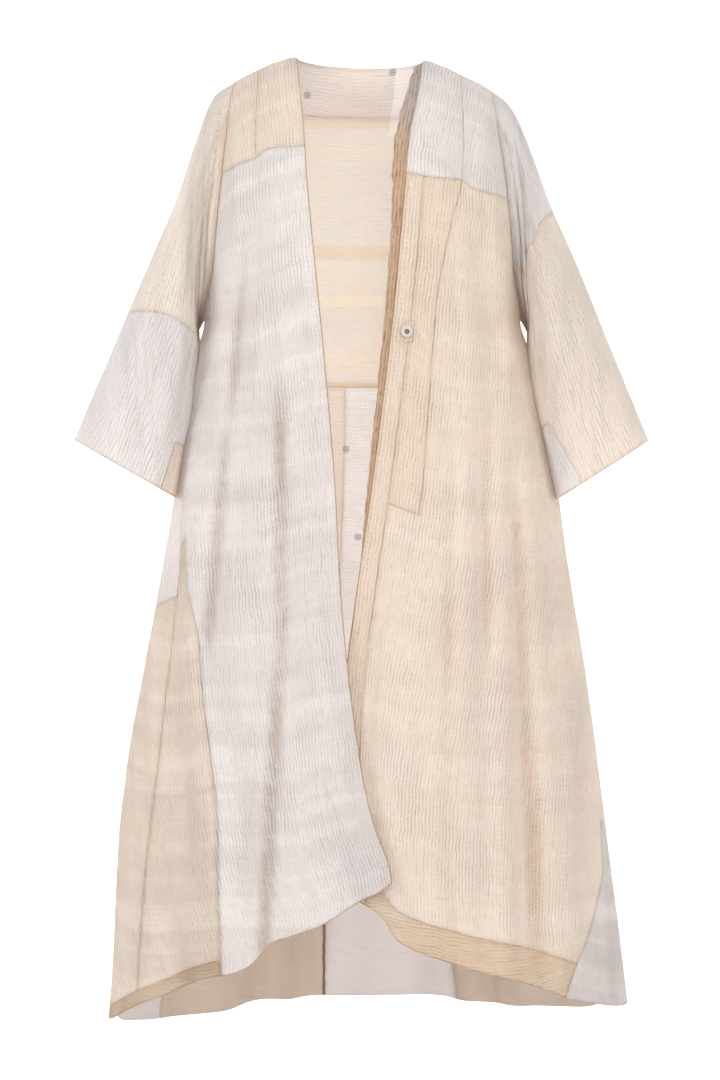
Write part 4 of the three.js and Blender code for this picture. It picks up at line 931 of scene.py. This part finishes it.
def clothMaterial(name, look, edgeColor=None, bands=(), dots=(), seamColor=None, seamAmount=0.07,
                  bandWidth=0.006, bandAmount=0.0, through=frontThrough, **changes):
    # stitched cotton with its seams and edges, and on some pieces level bands and printed rosettes
    look = dict(look, **changes)
    material = bpy.data.materials.new(name)
    material.use_nodes = True
    tree = material.node_tree
    shader = tree.nodes["Principled BSDF"]
    flat = tree.nodes.new("ShaderNodeUVMap")
    flat.uv_map = "cloth"
    where = tree.nodes.new("ShaderNodeTexCoord").outputs["Object"]
    stitched = place(
        tree, kantha, Vector=flat.outputs[0], Turn=look["turn"], Dimple=look["dimple"],
        Chevron=look["chevron"],
        Cloth=rgb(look["cloth"]), Hollow=rgb(look["hollow"]), Thread=rgb(look["thread"]),
        Thread_Amount=look["threadAmount"], Bands=look["woven"], Band_Color=rgb(look["bandColor"]),
        Row_Pitch=stitching["rowPitch"], Stitch_Pitch=stitching["stitchPitch"],
        Waver=stitching["waver"])
    color = stitched.outputs["Color"]
    for band in bands:
        color = place(tree, crossBand, Color=color, Vector=where, Axis=band.get("axis", (0, 0, 1)),
                      Low=band["low"], High=band["high"], Soft=band.get("soft", 0.004),
                      Band_Color=rgb(band["color"]), Amount=band.get("amount", 0.8),
                      Top=band.get("top", 10.0), Bottom=band.get("bottom", -10.0)).outputs["Color"]
    for x, z in dots:
        mask = place(tree, rosette, Vector=where, Centre=(x, 0, z)).outputs["Mask"]
        color = mixColor(tree, calc(tree, "MULTIPLY", mask, 0.92), color, rgb("43352f"))
    wornAndShaded = place(tree, seamWearAndFoldShade, Color=color, Height=stitched.outputs["Height"],
                 Seam_Color=rgb(seamColor or look["hollow"]), Seam_Amount=seamAmount,
                 Edge_Color=rgb(edgeColor or look["hollow"]), Edge_Width=0.0014 if edgeColor else 0.0004,
                 Band_Width=bandWidth, Band_Amount=bandAmount, Vector=flat.outputs[0],
                 Fold_Color=rgb(look.get("fold", look["hollow"])), Fold_Amount=look["foldAmount"])
    bump = tree.nodes.new("ShaderNodeBump")
    bump.inputs["Strength"].default_value = 1.0
    bump.inputs["Distance"].default_value = 0.0024
    joinTo(tree, bump.inputs["Height"], wornAndShaded.outputs["Height"])
    joinTo(tree, shader.inputs["Normal"], bump.outputs[0])
    joinTo(tree, shader.inputs["Base Color"], wornAndShaded.outputs["Color"])
    shader.inputs["Roughness"].default_value = 0.92
    shader.inputs["Specular IOR Level"].default_value = 0.25
    shader.inputs["Sheen Weight"].default_value = 0.1
    shader.inputs["Sheen Roughness"].default_value = 0.6
    # thin cotton glows a little with the light behind it
    glow = tree.nodes.new("ShaderNodeBsdfTranslucent")
    joinTo(tree, glow.inputs["Color"], wornAndShaded.outputs["Color"])
    both = tree.nodes.new("ShaderNodeMixShader")
    both.inputs[0].default_value = through
    tree.links.new(shader.outputs[0], both.inputs[1])
    tree.links.new(glow.outputs[0], both.inputs[2])
    tree.links.new(both.outputs[0], tree.nodes["Material Output"].inputs["Surface"])
    return material


# the pieces of the coat
# spans and cuts are row from, row to, column from, column to, on the surface that the piece is on
whiteSeam, creamSeam = "cdb7a2", "d6b083"
neckStrip = dict(low=0.049, high=0.4, color="f7f5f5", amount=0.95, axis=(1, 0, -0.12), soft=0.002)
backBands = [
    dict(low=-0.086, high=-0.060, color="ead7be", amount=0.4),
    dict(low=-0.097, high=-0.093, color="dfc9ab", amount=0.3),
    dict(low=-0.163, high=-0.150, color="f7efe4", amount=0.4),
    dict(low=-0.262, high=-0.238, color="ead6bd", amount=0.4),
    dict(low=-0.326, high=-0.308, color="faf3e6", amount=0.7),
    dict(low=-0.440, high=-0.424, color="e6cfae", amount=0.4),
    dict(neckStrip, bottom=-0.095),
]
# the ragged dark seam that shows inside the back hem
hemSeam = dict(low=-0.0535, high=-0.0485, color="5f4330", amount=0.85, axis=(1, 0, 0),
               soft=0.0012, top=-1.16)
neckDots = [(-0.071, -0.042), (0.044, -0.012)]
skirtDots = [(-0.019, -0.518), (-0.003, -0.638), (0.029, -0.463), (-0.06, -0.79), (0.09, -0.72)]

# on: the surface, spans: its cells, turn: where the cloth turns over, hangs: what it rests on
pieces = dict(
    rightYokeNeck=dict(on="rightFront", look="cream", spans=[(0, 8, 0, 5)], turn=1.0, edge="dcbf98",
        cloth="e8ddd1",
        flat=(0.072, 0.176), hangs="shoulders", area=0.0101),
    rightYokeShoulder=dict(on="rightFront", look="cream", spans=[(0, 8, 5, 17)], cloth="e8ddd1",
        flat=(0.055, 0.167), hangs="shoulders", area=0.0068),
    rightFrontPanel=dict(on="rightFront", look="white",
        spans=[(8, 48, 0, 10), (8, 28, 10, 13), (8, 18, 13, 17)], edge="d8b78c", cloth="e7e3e2",
        flat=(0.258, 1.07), hangs="rightYokeNeck", area=0.198),
    rightSideStrip=dict(on="rightFront", look="white", spans=[(18, 30, 13, 17)], cloth="f2eceb",
        flat=(0.087, 0.395), hangs="rightFrontPanel", area=0.0215),
    rightSideGore=dict(on="rightFront", look="cream", spans=[(28, 46, 10, 13)], cloth="e1d6cb",
        flat=(0.142, 0.578), hangs="rightFrontPanel", area=0.044),
    rightSidePiece=dict(on="rightFront", look="cream", spans=[(30, 46, 13, 17)], cloth="e6dbcf",
        flat=(0.125, 0.53), hangs="rightSideStrip", area=0.0568),
    # tan cloth, made darker still with painted shade, as the hem gets less light
    rightHemBand=dict(on="rightFront", look="tan", spans=[(46, 48, 10, 17)], turn=0.0,
        cloth="c2ae98", hollow="c4a582",
        flat=(0.268, 0.02), hangs="rightSidePiece", area=0.005),
    leftYokeNeck=dict(on="leftFront", look="white", spans=[(0, 8, 0, 4)], turn=1.0, cloth="e9e5e4",
        flat=(0.078, 0.21), hangs="shoulders", area=0.0133),
    leftYokeShoulder=dict(on="leftFront", look="white", spans=[(0, 8, 4, 16)], cloth="e9e5e4",
        flat=(0.077, 0.194), hangs="shoulders", area=0.0106),
    leftFrontEdge=dict(on="leftFront", look="tan", spans=[(8, 48, 0, 1)], edge="c99a66",
        flat=(0.03, 0.946), hangs="leftYokeNeck", area=0.0235),
    leftFrontBand=dict(on="leftFront", look="tan", spans=[(8, 28, 1, 4)],
        flat=(0.053, 0.443), hangs="leftYokeNeck", area=0.0165),
    leftFrontPanel=dict(on="leftFront", look="cream",
        spans=[(8, 46, 4, 12), (28, 46, 1, 4), (8, 40, 12, 16)],
        flat=(0.453, 1.042), hangs="leftYokeNeck", area=0.272),
    # painted shade: the gore's white is darker, as it hangs in shade
    leftSideGore=dict(on="leftFront", look="white", spans=[(40, 48, 12, 16)], cloth="ddd7d6",
        flat=(0.182, 0.253), hangs="leftFrontPanel", area=0.0257),
    leftHemBand=dict(on="leftFront", look="tan", spans=[(46, 48, 1, 12)], turn=0.0, cloth="e2cfb9",
        hollow="caac89",
        flat=(0.328, 0.047), hangs="leftFrontPanel", area=0.0119),
    backNeck=dict(on="back", look="greige", spans=[(0, 6, 0, 30)], lining="neck",
        flat=(0.42, 0.128), hangs="shoulders", area=0.0342),
    backUpper=dict(on="back", look="cream", spans=[(6, 22, 0, 30)], lining="upper",
        flat=(0.58, 0.39), hangs="backNeck", area=0.16),
    backSidePanel=dict(on="back", look="white", spans=[(22, 48, 0, 7)], lining="skirtWhite",
        flat=(0.178, 0.888), hangs="backUpper", area=0.1325),
    backRightPanel=dict(on="back", look="greige", spans=[(22, 48, 7, 14)], lining="skirt",
        flat=(0.274, 0.89), hangs="backUpper", area=0.181),
    backMiddlePanel=dict(on="back", look="white", spans=[(22, 48, 14, 21)], lining="skirtWhite",
        flat=(0.2, 0.87), hangs="backUpper", area=0.121),
    backLeftPanel=dict(on="back", look="greige", spans=[(22, 48, 21, 30)], lining="skirt",
        flat=(0.37, 0.88), hangs="backUpper", area=0.257),
    # painted light: the sleeves' cloth is paler than the body's, for the sides that the lamps light less
    rightSleeveUpper=dict(on="rightSleeve", look="cream", spans=[(0, 36, 0, 10)], cloth="fcf5ec",
        turn=0.0, foldAmount=0.34,
        flat=(0.66, 0.33), hangs="rightYokeShoulder", area=0.0748),
    rightSleeveLower=dict(on="rightSleeve", look="white", spans=[(0, 36, 10, 18)],
        cuts=[(14, 22, 16, 18)], turn=0.0, foldAmount=0.42, edge="d8b78c",
        flat=(0.38, 0.216), hangs="rightSleeveUpper", area=0.0656),
    rightSleeveWedge=dict(on="rightSleeve", look="cream", spans=[(14, 22, 16, 18)], turn=0.0,
        foldAmount=0.42, edge="d8b78c",
        flat=(0.07, 0.073), hangs="rightSleeveUpper", area=0.0044),
    # painted light: paler cloth, as on the right sleeve
    leftSleeveCap=dict(on="leftSleeve", look="white", spans=[(0, 12, 0, 6), (24, 36, 0, 6)],
        turn=0.0, foldAmount=0.28, cloth="f6f2f1",
        flat=(0.46, 0.19), hangs="leftYokeShoulder", area=0.032),
    # painted light: paler cloth, as on the right sleeve
    leftSleeveLower=dict(on="leftSleeve", look="cream", spans=[(0, 36, 6, 18), (12, 24, 0, 6)],
        cuts=[(14, 22, 15, 18)], cloth="f6ede4", turn=0.0, foldAmount=0.42, edge="dcbf98",
        flat=(0.492, 0.33), hangs="leftSleeveCap", area=0.1),
    leftSleeveWedge=dict(on="leftSleeve", look="white", spans=[(14, 22, 15, 18)], turn=0.0,
        foldAmount=0.42, edge="d8b78c",
        flat=(0.094, 0.108), hangs="leftSleeveLower", area=0.0079),
)

# painted shade: the back's lining turns darker below a height of -1.0 m, inside the hem where the fronts
# shade it
hemShade = dict(low=-2.0, high=-1.0, soft=0.1, amount=0.7)
linings = dict(
    plain=dict(
        look="white", cloth="f0eae7", hollow="dccabb", threadAmount=0.25, turn=0.0),
    neck=dict(
        look="greige", cloth="e7e3e1", hollow="dccfc7", dots=neckDots, bands=[neckStrip],
        threadAmount=0.2, turn=0.0, foldAmount=0.2),
    upper=dict(
        look="cream", cloth="eff0f0", hollow="ece2d8", bands=backBands, threadAmount=0.2, turn=0.0,
        foldAmount=0.2),
    skirt=dict(
        look="greige", cloth="f5eeea", hollow="e2d3c8", dots=skirtDots, turn=0.0,
        threadAmount=0.25, bands=[dict(hemShade, color="c1b6a8"), hemSeam], foldAmount=0.3),
    skirtWhite=dict(
        look="white", cloth="f6f2f0", hollow="dfd4ce", dots=skirtDots, turn=0.0, threadAmount=0.25,
        bands=[dict(hemShade, color="d1cbc9"), hemSeam], foldAmount=0.3),
)


# the piece's name in the frame: rightYokeNeck is right_yoke_neck
def nodeOf(name):
    return "".join("_" + c.lower() if c.isupper() else c for c in name)


# how strongly the cross bands show
bandShare = dict(cream=0.12, tan=0.12)
faintBand = 0.04


# a piece's cloth, or a lining's: back pieces let more light through
def materialOf(name, given):
    kept = ("cloth", "hollow", "turn", "threadAmount", "foldAmount", "dots", "bands")
    extra = {k: given[k] for k in kept if k in given}
    extra["through"] = backThrough if given.get("on", "back") == "back" else frontThrough
    warm = given["look"] in ("cream", "tan")
    return clothMaterial(name, looks[given["look"]], edgeColor=given.get("edge"),
                         seamColor=creamSeam if warm else whiteSeam,
                         bandAmount=bandShare.get(given["look"], faintBand), **extra)


liningMaterials = {name: materialOf("lining_" + name, given) for name, given in linings.items()}
for name, given in pieces.items():
    shell = makeShell(name, surfaces[given["on"]], given["spans"], given.get("cuts", ()))
    shell.data.materials.append(materialOf("cotton_" + name, given))
    shell.data.materials.append(liningMaterials[given.get("lining", "plain")])
    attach(shell, "root")
    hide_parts(nodeOf(name))
print("cloth made:", len(pieces), "pieces")

# the snap: its place comes from the CAD nodes, its sizes are in mm
snap = dict(
    patch=(23.0, 29.0, 1.9),    # width, height and how far proud of the front
    # radius and height from the middle of the face to the middle of the back
    disc=[(0, 0.6), (2.4, 0.7), (3.2, 1.0), (5.0, 1.05), (6.5, 0.85), (7.3, 0.45), (7.6, 0.0),
          (7.3, -0.4), (0, -0.4)],
    post=[(0, 0.35), (0.6, 0.35), (0.95, 0.45), (1.5, 1.05), (2.2, 1.05), (2.65, 0.6),
          (2.8, 0.0), (2.6, -0.4), (0, -0.4)],
    socket=[(0, -0.1), (1.2, -0.1), (1.6, 0.6), (2.6, 0.8), (5.8, 0.55), (7.2, 0.3), (7.6, 0.0),
            (7.2, -0.4), (0, -0.4)],
    threads=26, ridge=0.12,    # threads round the disc, and how far they stand up
)


def seatOf(node, surface, outward):
    # middle of a CAD node, and the normal of the cloth nearest to it
    low, high = np.array(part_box(node)) / mm
    middle = (low + high) / 2
    p = surface["p"].reshape(-1, 3)
    return middle, surface["n"].reshape(-1, 3)[((p - middle) ** 2).sum(1).argmin()] * outward


def makeRound(name, node, profile, seat, ridge=0.0):
    # a profile of radius and height turned round the seat's normal, with fine radial threads on it
    middle, normal = seat
    radius, height = np.array(profile, float).T
    fine = np.linspace(0, len(radius) - 1, 4 * len(radius) - 3)
    radius, height = (np.interp(fine, np.arange(len(radius)), k) for k in (radius, height))
    angle = np.linspace(0, 2 * pi, 104, endpoint=False)
    first = np.cross(normal, (0.0, 0.0, 1.0))
    first /= np.linalg.norm(first)
    second = np.cross(normal, first)
    inner = slice(1, -1)
    bell = np.exp(-((radius - 5.0) / 2.0) ** 2) * (height > 0)
    wave = np.cos(snap["threads"] * angle)[None] * bell[:, None]
    spoke = np.cos(angle)[:, None] * first + np.sin(angle)[:, None] * second
    rings = middle + radius[inner, None, None] * spoke \
        + (height[inner, None] + ridge * wave[inner])[..., None] * normal
    count, turns = rings.shape[:2]
    ends = [middle + height[0] * normal, middle + height[-1] * normal]
    verts = np.concatenate([rings.reshape(-1, 3), ends])
    ring = np.arange(turns)
    following = (ring + 1) % turns
    rows = np.arange(count - 1)[:, None] * turns
    quads = np.stack([rows + ring, rows + turns + ring, rows + turns + following, rows + following],
                     -1).reshape(-1, 4)
    total, last = count * turns, (count - 1) * turns
    caps = [(total, a, b) for a, b in zip(ring, following)] \
        + [(total + 1, last + b, last + a) for a, b in zip(ring, following)]
    caps = [tuple(int(x) for x in cap) for cap in caps]
    mesh = bpy.data.meshes.new(name)
    mesh.from_pydata((verts * mm).tolist(), [], quads.tolist() + caps)
    mesh.polygons.foreach_set("use_smooth", [True] * len(mesh.polygons))
    tint = np.concatenate([wave[inner].ravel(), [0, 0]])
    out = np.concatenate([np.repeat(radius[inner], turns), [0, 0]])
    for label, values in (("thread", tint), ("fromMiddle", out)):
        mesh.attributes.new(label, "FLOAT", "POINT").data.foreach_set("value", values.astype(np.float32))
    piece = bpy.data.objects.new(name, mesh)
    bpy.context.collection.objects.link(piece)
    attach(piece, "root")
    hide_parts(node)
    return piece


def paleThreads():
    # pale thread laid in spokes, grey between them
    material = bpy.data.materials.new("paleThread")
    material.use_nodes = True
    tree = material.node_tree
    shader = tree.nodes["Principled BSDF"]
    spokes = step(tree, readAttribute(tree, "thread"), -0.6, 0.4)
    rim = step(tree, readAttribute(tree, "fromMiddle"), 5.6, 7.4, 0.0, 0.55)
    color = mixColor(tree, spokes, rgb("8f8a87"), rgb("d2cecb"))
    joinTo(tree, shader.inputs["Base Color"], mixColor(tree, rim, color, rgb("cfc4bb")))
    shader.inputs["Roughness"].default_value = 0.75
    return material


def agedBrass():
    # dark brass with a lighter, rubbed middle
    material = bpy.data.materials.new("agedBrass")
    material.use_nodes = True
    tree = material.node_tree
    shader = tree.nodes["Principled BSDF"]
    where = tree.nodes.new("ShaderNodeTexCoord").outputs["Object"]
    middle = step(tree, readAttribute(tree, "fromMiddle"), 0.5, 1.1, 1.0, 0.0)
    color = mixColor(tree, noise(tree, where, 900.0, 3.0), rgb("5a4128"), rgb("7d5f3c"))
    joinTo(tree, shader.inputs["Base Color"], mixColor(tree, middle, color, rgb("d9c6a8")))
    joinTo(tree, shader.inputs["Roughness"], step(tree, noise(tree, where, 1500.0), 0.3, 0.7, 0.3, 0.5))
    shader.inputs["Metallic"].default_value = 0.85
    return material


def makeSheet(name, outer, inner, across, down, edge, valley):
    # a closed sheet between two grids of points, its flat coordinates across and down in mm
    rows, columns = across.shape
    index = np.arange(rows * columns).reshape(rows, columns)
    quads = np.stack([index[:-1, :-1], index[1:, :-1], index[1:, 1:], index[:-1, 1:]], -1).reshape(-1, 4)
    loop = np.concatenate([index[0, :-1], index[:-1, -1], index[-1, :0:-1], index[:0:-1, 0]])
    rim = np.stack([loop, np.roll(loop, -1), np.roll(loop, -1) + index.size, loop + index.size], 1)
    faces = np.concatenate([quads, quads[:, ::-1] + index.size, rim])
    # wound so that the outer face looks away from the inner one
    outward = np.cross(np.gradient(outer, axis=0), np.gradient(outer, axis=1)) * (outer - inner)
    faces = faces if outward.sum() > 0 else faces[:, ::-1]
    mesh = bpy.data.meshes.new(name)
    verts = np.concatenate([outer.reshape(-1, 3), inner.reshape(-1, 3)]) * mm
    mesh.from_pydata(verts.tolist(), [], faces.tolist())
    mesh.polygons.foreach_set("use_smooth", [True] * len(faces))
    flat = np.stack([across, -down], -1).reshape(-1, 2) * mm
    mesh.uv_layers.new(name="cloth").uv.foreach_set("vector", flat[faces.ravel() % index.size].ravel())
    for label, values in (("seamNear", edge * mm), ("edgeNear", edge * mm + 1), ("valley", valley)):
        data = np.tile(values.ravel(), 2).astype(np.float32)
        mesh.attributes.new(label, "FLOAT", "POINT").data.foreach_set("value", data)
    sheet = bpy.data.objects.new(name, mesh)
    bpy.context.collection.objects.link(sheet)
    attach(sheet, "root")
    return sheet


def makePatch(seat):
    # a small square of cloth over the front: the front's own surface, moved out
    surface, (wide, high, proud) = surfaces["leftFront"], snap["patch"]
    p, u, v = surface["p"], surface["u"], surface["v"]
    a, b = np.unravel_index(((p - seat[0]) ** 2).sum(-1).argmin(), p.shape[:2])
    columns = np.interp(np.linspace(u[a, b] - wide / 2, u[a, b] + wide / 2, int(wide)), u[a], surface["c"])
    rows = np.interp(np.linspace(v[a, b] - high / 2, v[a, b] + high / 2, int(high)), v[:, b], surface["r"])
    base = frontPoints(leftFront, rows, columns)
    normal = np.cross(np.gradient(base, axis=1), np.gradient(base, axis=0))
    normal /= np.linalg.norm(normal, axis=2, keepdims=True)
    shift = p[a, b] - frontPoints(leftFront, surface["r"][[a]], surface["c"][[b]])[0, 0]
    across, down = np.meshgrid(np.linspace(0, wide, len(columns)), np.linspace(0, high, len(rows)))
    edge = np.minimum(np.minimum(across, wide - across), np.minimum(down, high - down))
    lift = proud * (0.6 + 0.4 * ease(edge / 1.6)) - 0.3 * np.exp(-((edge - 2.2) / 0.7) ** 2) \
        + 0.12 * noise2(across / 3, down / 3, 7)
    patch = makeSheet("snapPatch", base + shift + normal * lift[..., None], base + shift + normal * 0.2,
                      across, down, edge, 0 * edge)
    patch.data.materials.append(clothMaterial(
        "cottonPatch", looks["tan"], cloth="efe4dc", hollow="dfcbb9", seamColor="d6b893", seamAmount=0.7,
        bandWidth=0.0028, bandAmount=0.3))
    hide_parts("snap_patch")


# the facing that rolls out behind the left front edge: height, how far it shows, in mm
facing = dict(shows=[(-6, 13), (-60, 17), (-110, 18), (-180, 15), (-260, 11.5), (-330, 9.5), (-450, 8),
                     (-520, 6.5), (-600, 4.5), (-665, 0.5)],
              tucked=4.0, recede=8.0, rib=4.6, ribHeight=0.7, flat=(0.02, 0.67), area=0.0095)


def makeFacing():
    # out from the edge in the plane of the cloth, sinking behind it as it goes, with lengthwise ribs
    surface = surfaces["leftFront"]
    p, n = surface["p"][:, 0], surface["n"][:, 0]
    out = p - surface["p"][:, 1]
    out /= np.linalg.norm(out, axis=1, keepdims=True)
    kept = (p[:, 2] < -6) & (p[:, 2] > -664)
    p, n, out, down = p[kept], n[kept], out[kept], surface["v"][kept, :1]
    share = np.linspace(1, 0, 22)[None]
    wide = (curve(facing["shows"], 0, 1, p[:, 2]) + facing["tucked"])[:, None]
    wide = wide * (1 + 0.08 * noise2(down / 14, 0 * down, 3)) + 0.4 * noise2(down / 5, 0 * down, 5)
    away = wide * share
    rib = np.cos(2 * pi * away / facing["rib"] + 0.8 * noise2(down / 30, 0 * down, 9)) \
        + 0.7 * noise2(away / 2.5, down / 6, 11)
    depth = 2.4 + facing["recede"] * share ** 2 - facing["ribHeight"] * rib * ease(away / 5)
    base = p[:, None] + out[:, None] * (away - facing["tucked"])[..., None]
    outer = base - n[:, None] * depth[..., None]
    inner = base - n[:, None] * (depth + 1.5)[..., None]
    # painted shade in the troughs between the ribs, through the valley values
    strip = makeSheet("leftFrontFacing", outer, inner, away.max() - away, down + 0 * away,
                      np.minimum(away, wide - away) + 4, 0.9 - rib)
    # the facing lies in shade: its cloth, hollow and fold colours are dark with painted shade, and the band
    # over its top is painted grey shade
    strip.data.materials.append(clothMaterial(
        "cottonFacing", looks["tan"], cloth="dec5aa", hollow="bd9670", fold="98704c", foldAmount=0.8,
        threadAmount=0.2, bandColor="e3cdb4",
        bands=[dict(low=-0.125, high=1.0, color="d0c6c0", amount=0.85, soft=0.03)]))


makeFacing()
brass, pale = agedBrass(), paleThreads()
discSeat = seatOf("snap_disc", surfaces["leftFront"], 1)
makePatch(discSeat)
postSeat = seatOf("snap_post", surfaces["leftFront"], 1)
socketSeat = seatOf("snap_socket", surfaces["rightFront"], -1)
disc = makeRound("snapDisc", "snap_disc", snap["disc"], discSeat, snap["ridge"])
disc.data.materials.append(pale)
makeRound("snapPost", "snap_post", snap["post"], postSeat).data.materials.append(brass)
makeRound("snapSocket", "snap_socket", snap["socket"], socketSeat).data.materials.append(brass)
print("snap made")

# floor and light
studio = dict(floor=-1.45, back=2.2, curve=1.2, halfWidth=9.0, front=-7.0, color="f4f3f2")


def makeBackdrop():
    # a floor that sweeps up behind the coat: straight, a quarter circle, straight up
    bend = np.linspace(0, pi / 2, 24)
    y = np.concatenate([[studio["front"]], studio["back"] + studio["curve"] * np.sin(bend),
                        [studio["back"] + studio["curve"]]])
    z = np.concatenate([[0], studio["curve"] * (1 - np.cos(bend)), [7.0]]) + studio["floor"]
    x = np.array([-1, 1]) * studio["halfWidth"]
    verts = [(a, b, c) for a in x for b, c in zip(y, z)]
    count = len(y)
    faces = [(k, k + count, k + count + 1, k + 1) for k in range(count - 1)]
    mesh = bpy.data.meshes.new("backdrop")
    mesh.from_pydata(verts, [], faces)
    mesh.polygons.foreach_set("use_smooth", [True] * len(faces))
    backdrop = bpy.data.objects.new("backdrop", mesh)
    bpy.context.collection.objects.link(backdrop)
    material = bpy.data.materials.new("paleFloor")
    material.use_nodes = True
    shader = material.node_tree.nodes["Principled BSDF"]
    shader.inputs["Base Color"].default_value = rgb(studio["color"])
    shader.inputs["Roughness"].default_value = 0.9
    # clear from behind, so that the coat can be looked at from the back as well
    tree = material.node_tree
    clear, both = tree.nodes.new("ShaderNodeBsdfTransparent"), tree.nodes.new("ShaderNodeMixShader")
    tree.links.new(tree.nodes.new("ShaderNodeNewGeometry").outputs["Backfacing"], both.inputs[0])
    tree.links.new(shader.outputs[0], both.inputs[1])
    tree.links.new(clear.outputs[0], both.inputs[2])
    tree.links.new(both.outputs[0], tree.nodes["Material Output"].inputs["Surface"])
    mesh.materials.append(material)
    backdrop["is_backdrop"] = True


worldLight = 0.66
lamps = [
    dict(name="frontLight", at=(0.3, -3.6, 1.5), to=(0, 0, -0.5), size=1.5, power=58.0),
    dict(name="rightLight", at=(3.0, -2.4, 0.9), to=(0, 0, -0.6), size=1.1, power=38.0),
    dict(name="leftLight", at=(-3.0, -2.2, 0.7), to=(0, 0, -0.6), size=1.1, power=58.0),
    dict(name="backRightLight", at=(1.8, 1.9, 0.5), to=(0, 0.1, -0.5), size=1.2, power=18.0),
    dict(name="backLeftLight", at=(-1.8, 1.9, 0.5), to=(0, 0.1, -0.5), size=1.2, power=18.0),
    dict(name="backdropLight", at=(0, 1.2, 1.3), to=(0, 3.4, 0.2), size=2.6, power=110.0),
]


def makeLights():
    for given in lamps:
        data = bpy.data.lights.new(given["name"], "AREA")
        data.shape, data.size, data.energy = "SQUARE", given["size"], given["power"]
        lamp = bpy.data.objects.new(given["name"], data)
        lamp.location = given["at"]
        aim = Vector(given["to"]) - Vector(given["at"])
        lamp.rotation_euler = aim.to_track_quat("-Z", "Y").to_euler()
        bpy.context.collection.objects.link(lamp)
    world = bpy.data.worlds.new("studioWorld")
    world.use_nodes = True
    world.node_tree.nodes["Background"].inputs[0].default_value = (1, 1, 1, 1)
    world.node_tree.nodes["Background"].inputs[1].default_value = worldLight
    bpy.context.scene.world = world
    bpy.context.scene.view_settings.view_transform = "Standard"


makeBackdrop()
makeLights()
print("studio made")

lists = lambda box: [list(corner) for corner in box]
dict(cad=lists(cadBox), visual=lists(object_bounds()))
